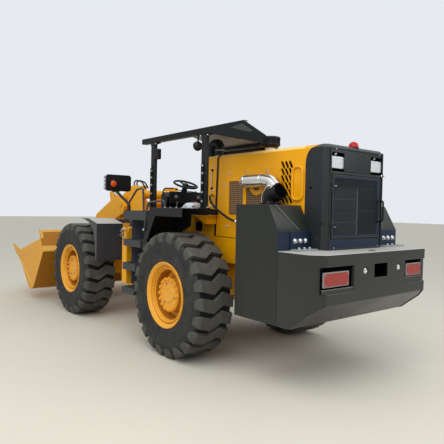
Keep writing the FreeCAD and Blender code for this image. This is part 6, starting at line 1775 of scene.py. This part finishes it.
@dataclass
class Bucket:
    """Welded bucket: cut-back side plates, wear band, corner cutters, spill guard and edge."""

    half: float = 1200.0

    def build(self) -> None:
        """Makes the shell with its strips, beads and bolts."""
        forge = Forge("bucket_welded", BUCKET_YELLOW).node("bucket", 0.0)
        tools = Forge("tools", BUCKET_YELLOW)
        h = self.half
        low_side = [(4547, 676), (3540, 938), (3462, 846), (3870, 270), (3945, 212), (4030, 186), (4104, 206),
                    (4606, 640)]
        for side in (1, -1):
            tools.prism([(3634, 1200), (3562, 1048), (4638, 780), (4790, 860)], Plane.SIDE, side * (h - 24),
                        side * (h + 5), 0)
            tools.prism(low_side, Plane.SIDE, side * (h - 5), side * (h + 5), 0)
        tools.prism([(4800, 900), (4872, 700), (5200, 700), (5200, 1000)], Plane.SIDE, -h - 5, h + 5, 0)
        forge.carve(tools)
        rear = Vector((-1, 0, 0))
        # Faces that look back painted a darker yellow: painted shade
        forge.paint(SHADED_BUCKET_YELLOW, (3300, -h, 930), (3680, h, 1190), rear)
        forge.paint(SHADED_BUCKET_YELLOW, (3300, -h, 180), (4000, h, 838), rear)
        forge.use(EDGE_STEEL)
        forge.prism([(3609, 1181), (3601, 1186), (3582, 1150), (3590, 1145)], Plane.SIDE, -h + 1, h - 1, 1.0)
        forge.prism([(3484, 928), (3456, 936), (3414, 858), (3430, 838)], Plane.SIDE, -h + 2, h - 2, 2.0)
        for side in (1, -1):
            forge.prism([(3600, 1180), (3590, 1186), (3518, 1052), (3528, 1046)], Plane.SIDE, side * (h - 2),
                        side * (h - 44), 1.0)
            forge.use(EDGE_STEEL)
            forge.prism([(5066, 866), (5008, 874), (4660, 800), (4570, 774), (4585, 690), (4634, 618), (4700, 640),
                         (4884, 716)], Plane.SIDE, side * (h - 13), side * (h - 1), 2.0)
            for x, z in ((4640, 738), (4650, 672), (4720, 690)):
                forge.use(ZINC).turned([(-1, 0), (-1, 17), (0.8, 17), (0.8, 0)], (x, side * (h - 1), z), (0, side, 0), 20)
            forge.use(BEAD)
            for start, end in (((4516, 572), (3975, 248)), ((4640, 780), (3590, 1042)), ((4547, 678), (3545, 936))):
                forge.rod((start[0], side * (h - 5), start[1]), (end[0], side * (h - 5), end[1]), 4.0, 8, 0)
        forge.make("bucket", ("bucket",))


@dataclass
class FrontHalf:
    """Front frame's details: column, valve block and the pins on the lift arms."""

    arm_y: float = 385.0

    def tower(self) -> None:
        """Makes the column behind the arms' pivots, with its hoses over the top."""
        forge = Forge("tower_column_welded", YELLOW)
        forge.block((1985, 160, 1290), (2148, 330, 1905), 4.0)
        # Thin pale cap on the column's top: painted highlight
        forge.use(HIGHLIGHT_YELLOW).block((1992, 166, 1904), (2141, 324, 1909), 2.0)
        forge.use(BLACK_COAT)
        for y in (250, 296):
            forge.pipe(((2120, y, 1890), (2130, y, 1962), (2060, y, 1990), (1995, y - 60, 1962), (1975, y - 110, 1870)),
                       11.0, 60.0, 12)
        forge.use(STEEL)
        for y in (250, 296):
            forge.turned([(-2, 0), (-2, 15), (24, 15), (28, 12), (28, 0)], (2120, y, 1906), (0, 0, 1), 16, 0.6)
        forge.use(IRON).block((2010, -150, 1290), (2150, 150, 1420), 8.0)
        forge.make("front")

    def pins(self) -> None:
        """Adds the pins' caps, bolts and grease nipples on both arms."""
        forge = Forge("boom_trim", YELLOW)
        for side in (1, -1):
            for x, z, radius in ((2330, 1640, 60), (3650, 358, 46), (2900, 1290, 50)):
                y = side * 410
                forge.use(YELLOW).turned([(-3, 0), (-3, radius), (6, radius), (9, radius - 4), (9, 0)], (x, y, z),
                                         (0, side, 0), 36)
                forge.use(ZINC).bolt((x + radius * 0.5, y + side * 9, z), (0, side, 0), 17.0, 9.0)
                forge.use(STEEL).turned([(0, 0), (0, 8), (10, 6), (13, 0)], (x - 12, y + side * 9, z + 8), (0, side, 0), 12)
        forge.make("boom")

    def build(self) -> None:
        """Makes the column and the pins."""
        self.tower()
        self.pins()


@dataclass
class Plating:
    """Fabricated plates and castings that keep the solid's own shape, with broken edges."""

    def build(self) -> None:
        """Makes one piece of each node, in its finish."""
        plain: tuple[tuple[str, str, Finish, float], ...] = (
            ("rear_frame", "chassis", YELLOW, 4.0), ("rear_axle", "chassis", YELLOW, 8.0),
            ("engine_block", "chassis", IRON, 12.0), ("gearbox", "chassis", IRON, 12.0),
            ("rear_shafts", "chassis", BLACK_COAT, 0.0), ("radiator", "chassis", BLACK_COAT, 5.0),
            ("lower_body", "chassis", YELLOW, 4.0), ("floor", "chassis", GREY, 2.5),
            ("front_frame", "front", YELLOW, 4.0), ("front_axle", "front", YELLOW, 8.0),
            ("front_shaft", "front", BLACK_COAT, 0.0), ("boom", "boom", YELLOW, 4.0),
            ("bell_crank", "crank", YELLOW, 4.0), ("tilt_link", "link", YELLOW, 4.0),
            ("tilt_barrel", "tilt_barrel", YELLOW, 2.0), ("tilt_rod", "tilt_rod", CHROME, 2.0),
        )
        for node, body, finish, width in plain:
            Forge(node + "_plates", finish).node(node, width).make(body, (node,))
        for side in ("left", "right"):
            for name, finish in (("lift_barrel_", YELLOW), ("lift_rod_", CHROME),
                                 ("steer_barrel_", BLACK_COAT), ("steer_rod_", CHROME)):
                node = name + side
                Forge(node + "_turned", finish).node(node, 1.5).make(node, (node,))


@dataclass
class Wheel:
    """Earthmover tyre with zigzag bars, on a dished steel rim with a planetary hub."""

    end: str
    side: str
    bars: int = 22
    crown_r: float = 665.0
    groove_r: float = 628.0
    bead_r: float = 320.3
    flange_r: float = 352.0
    hub_face: float = 150.0
    hub_r: float = 178.0
    hub_bolts: int = 16

    def centre(self) -> Point:
        """The middle of the wheel, as a station."""
        x = 0.0 if self.end == "rear" else WHEELBASE
        return (x, WHEEL_Y if self.side == "left" else -WHEEL_Y, AXLE_Z)

    def outward(self) -> float:
        """1 for a wheel on the left, -1 on the right."""
        return 1.0 if self.side == "left" else -1.0

    def at(self, along: float, radius: float, turn: float) -> Vector:
        """A point of the wheel: distance outward, radius, and degrees down from the front."""
        x, y, z = self.centre()
        a = math.radians(turn)
        return place(x + radius * math.cos(a), y + self.outward() * along, z + radius * math.sin(a))

    def tyre(self) -> None:
        """Makes the casing and its bars."""
        forge = Forge(f"tyre_{self.end}_{self.side}_moulded", TYRE)
        right = [(195.0, self.bead_r), (197.0, 338.0), (201.0, 353.0), (208.0, 364.0), (211.0, 384.0),
                 (212.5, 412.0), (213.5, 436.0), (214.5, 438.0), (216.5, 444.0), (218.0, 460.0),
                 (221.0, 496.0), (222.4, 500.0), (222.4, 508.0), (221.0, 512.0), (219.5, 548.0),
                 (215.0, 576.0), (205.0, 602.0), (190.0, 618.0)]
        left = [(-a, r) for a, r in right[::-1]]
        forge.turned(right + left, self.centre(), (0, self.outward(), 0), 96, closed=True)
        g = self.groove_r
        # Near-black band under the bars: painted shade on the groove floor
        forge.use(TYRE_GROOVE_SHADE).turned(
            [(-196, 560), (-196, g - 16), (-170, g), (170, g), (196, g - 16), (196, 560)],
            self.centre(), (0, self.outward(), 0), 96, closed=True)
        pitch = 360.0 / self.bars
        # Distance outward, radius of the top, share of the pitch that the bar's middle is moved by,
        # and the bar's share of the pitch at its top
        run = ((220.5, 566.0, 0.06, 0.40), (221.0, 592.0, 0.04, 0.50), (217.0, 624.0, 0.0, 0.58),
               (206.0, 650.0, 0.0, 0.62), (188.0, self.crown_r, 0.0, 0.64),
               (44.0, self.crown_r, 0.21, 0.68), (-68.0, self.crown_r, -0.21, 0.68),
               (-188.0, self.crown_r, 0.0, 0.64), (-206.0, 650.0, 0.0, 0.62),
               (-217.0, 624.0, 0.0, 0.58), (-221.0, 592.0, -0.04, 0.50), (-220.5, 566.0, -0.06, 0.40))
        forge.use(TYRE_BAR)
        for k in range(self.bars):
            points: list[Vector] = []
            for along, top, shift, share in run:
                middle = (k + shift) * pitch
                half = share * pitch / 2
                inner = along * 0.86 if abs(along) > 180 else along
                base = self.groove_r - 30 if abs(along) < 200 else top - 40
                foot = half + 0.7
                points += [self.at(inner, base, middle - foot), self.at(along, top, middle - half),
                           self.at(along, top, middle + half), self.at(inner, base, middle + foot)]
            n = len(run)
            faces: list[Sequence[int]] = [(0, 1, 2, 3), tuple(4 * (n - 1) + i for i in range(4))]
            for i in range(n - 1):
                for j in range(4):
                    m = (j + 1) % 4
                    faces.append((4 * i + j, 4 * i + m, 4 * i + 4 + m, 4 * i + 4 + j))
            forge.add(points, faces, 3.5, 2, 28.0)
        forge.make(f"wheel_{self.end}_{self.side}", (f"tyre_{self.end}_{self.side}",), "tyre", 32.0)

    def rim(self) -> None:
        """Makes the rim base, its lock ring, the dished disc and the hub with its bolts."""
        forge = Forge(f"rim_{self.end}_{self.side}_pressed", RIM_YELLOW)
        axis = (0.0, self.outward(), 0.0)
        f = self.flange_r
        base = [(-184, f - 4), (-181, f), (-172, f), (-170, 320), (196, 320), (198, f - 3), (203, f),
                (210, f), (214, f - 5), (213, f - 12), (196, f - 34), (188, 310), (176, 308), (174, 297),
                (182, 293), (184, 287), (178, 281), (150, 276), (146, 268), (60, 262), (44, 256), (34, 244),
                (30, 226), (28, 200), (-14, 200), (-16, 232), (-10, 300), (-172, 304), (-180, 330)]
        forge.turned(base, self.centre(), axis, 96, 0.0, closed=True)
        # Darker lining in the barrel and a thin ring by the flange: painted shade
        forge.use(RIM_SHADE).turned([(36, 251), (62, 261), (145, 266.8), (145, 264.5), (62, 259), (38, 250)],
                                    self.centre(), axis, 96, 0.0, closed=True)
        forge.turned([(176.5, 307), (176.5, 298), (175.5, 298), (175.5, 307)], self.centre(), axis, 96, 0.0, closed=True)
        forge.use(RIM_YELLOW)
        face = self.hub_face
        r = self.hub_r
        hub = [(-40, 60.4), (-40, 190), (16, 190), (18, r + 10), (40, r + 8), (44, r - 4), (face - 22, r - 8),
               (face - 18, r), (face - 3, r), (face, r - 3), (face, 88), (face + 7, 84), (face + 7, 56),
               (face + 3, 52), (face + 3, 0)]
        hub += [(30, 0), (30, 60.4)]
        forge.turned(hub, self.centre(), axis, 96, 0.8)
        x, y, z = self.centre()
        step = 360.0 / self.hub_bolts
        for k in range(self.hub_bolts):
            a = math.radians(k * step)
            spot = (x + (r - 14) * math.cos(a), y + self.outward() * face, z + (r - 14) * math.sin(a))
            forge.bolt(spot, axis, 29.0, 19.0)
            spot = (x + 217 * math.cos(a + 0.2), y + self.outward() * 14, z + 217 * math.sin(a + 0.2))
            forge.bolt(spot, axis, 27.0, 18.0)
        for degrees in (70, 190, 310):
            a = math.radians(degrees)
            spot = (x + 118 * math.cos(a), y + self.outward() * face, z + 118 * math.sin(a))
            forge.use(STEEL).bolt(spot, axis, 20.0, 6.0, False)
        forge.use(BLACK_COAT)
        valve = (x + 296 * math.cos(0.5), y + self.outward() * 60, z + 296 * math.sin(0.5))
        tip = (x + 280 * math.cos(0.5), y + self.outward() * 148, z + 280 * math.sin(0.5))
        forge.rod(valve, tip, 7.0, 12)
        forge.make(f"wheel_{self.end}_{self.side}", (f"rim_{self.end}_{self.side}",), "rim_paint")

    def build(self) -> None:
        """Makes the tyre and the rim."""
        self.tyre()
        self.rim()


def corners() -> list[list[float]]:
    """The shown object's lowest and highest corner as plain numbers."""
    return [list(corner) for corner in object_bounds()]


def main() -> None:
    """Builds the sub-assemblies in order."""
    logging.basicConfig(level=logging.INFO, format="%(message)s")
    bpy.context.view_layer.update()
    Studio().build()
    HoodHose().build()
    for assembly in (Plating(), Hood(), Exhaust(), Precleaner(), Cowl(), GrilleDoor(), Tail(), Canopy(),
                     DrivingPlace(), Flanks(), FrontGuards(), Bucket(), FrontHalf()):
        assembly.build()
    for end in ("rear", "front"):
        for side in ("left", "right"):
            Wheel(end, side).build()


if __name__ == "__main__":
    main()
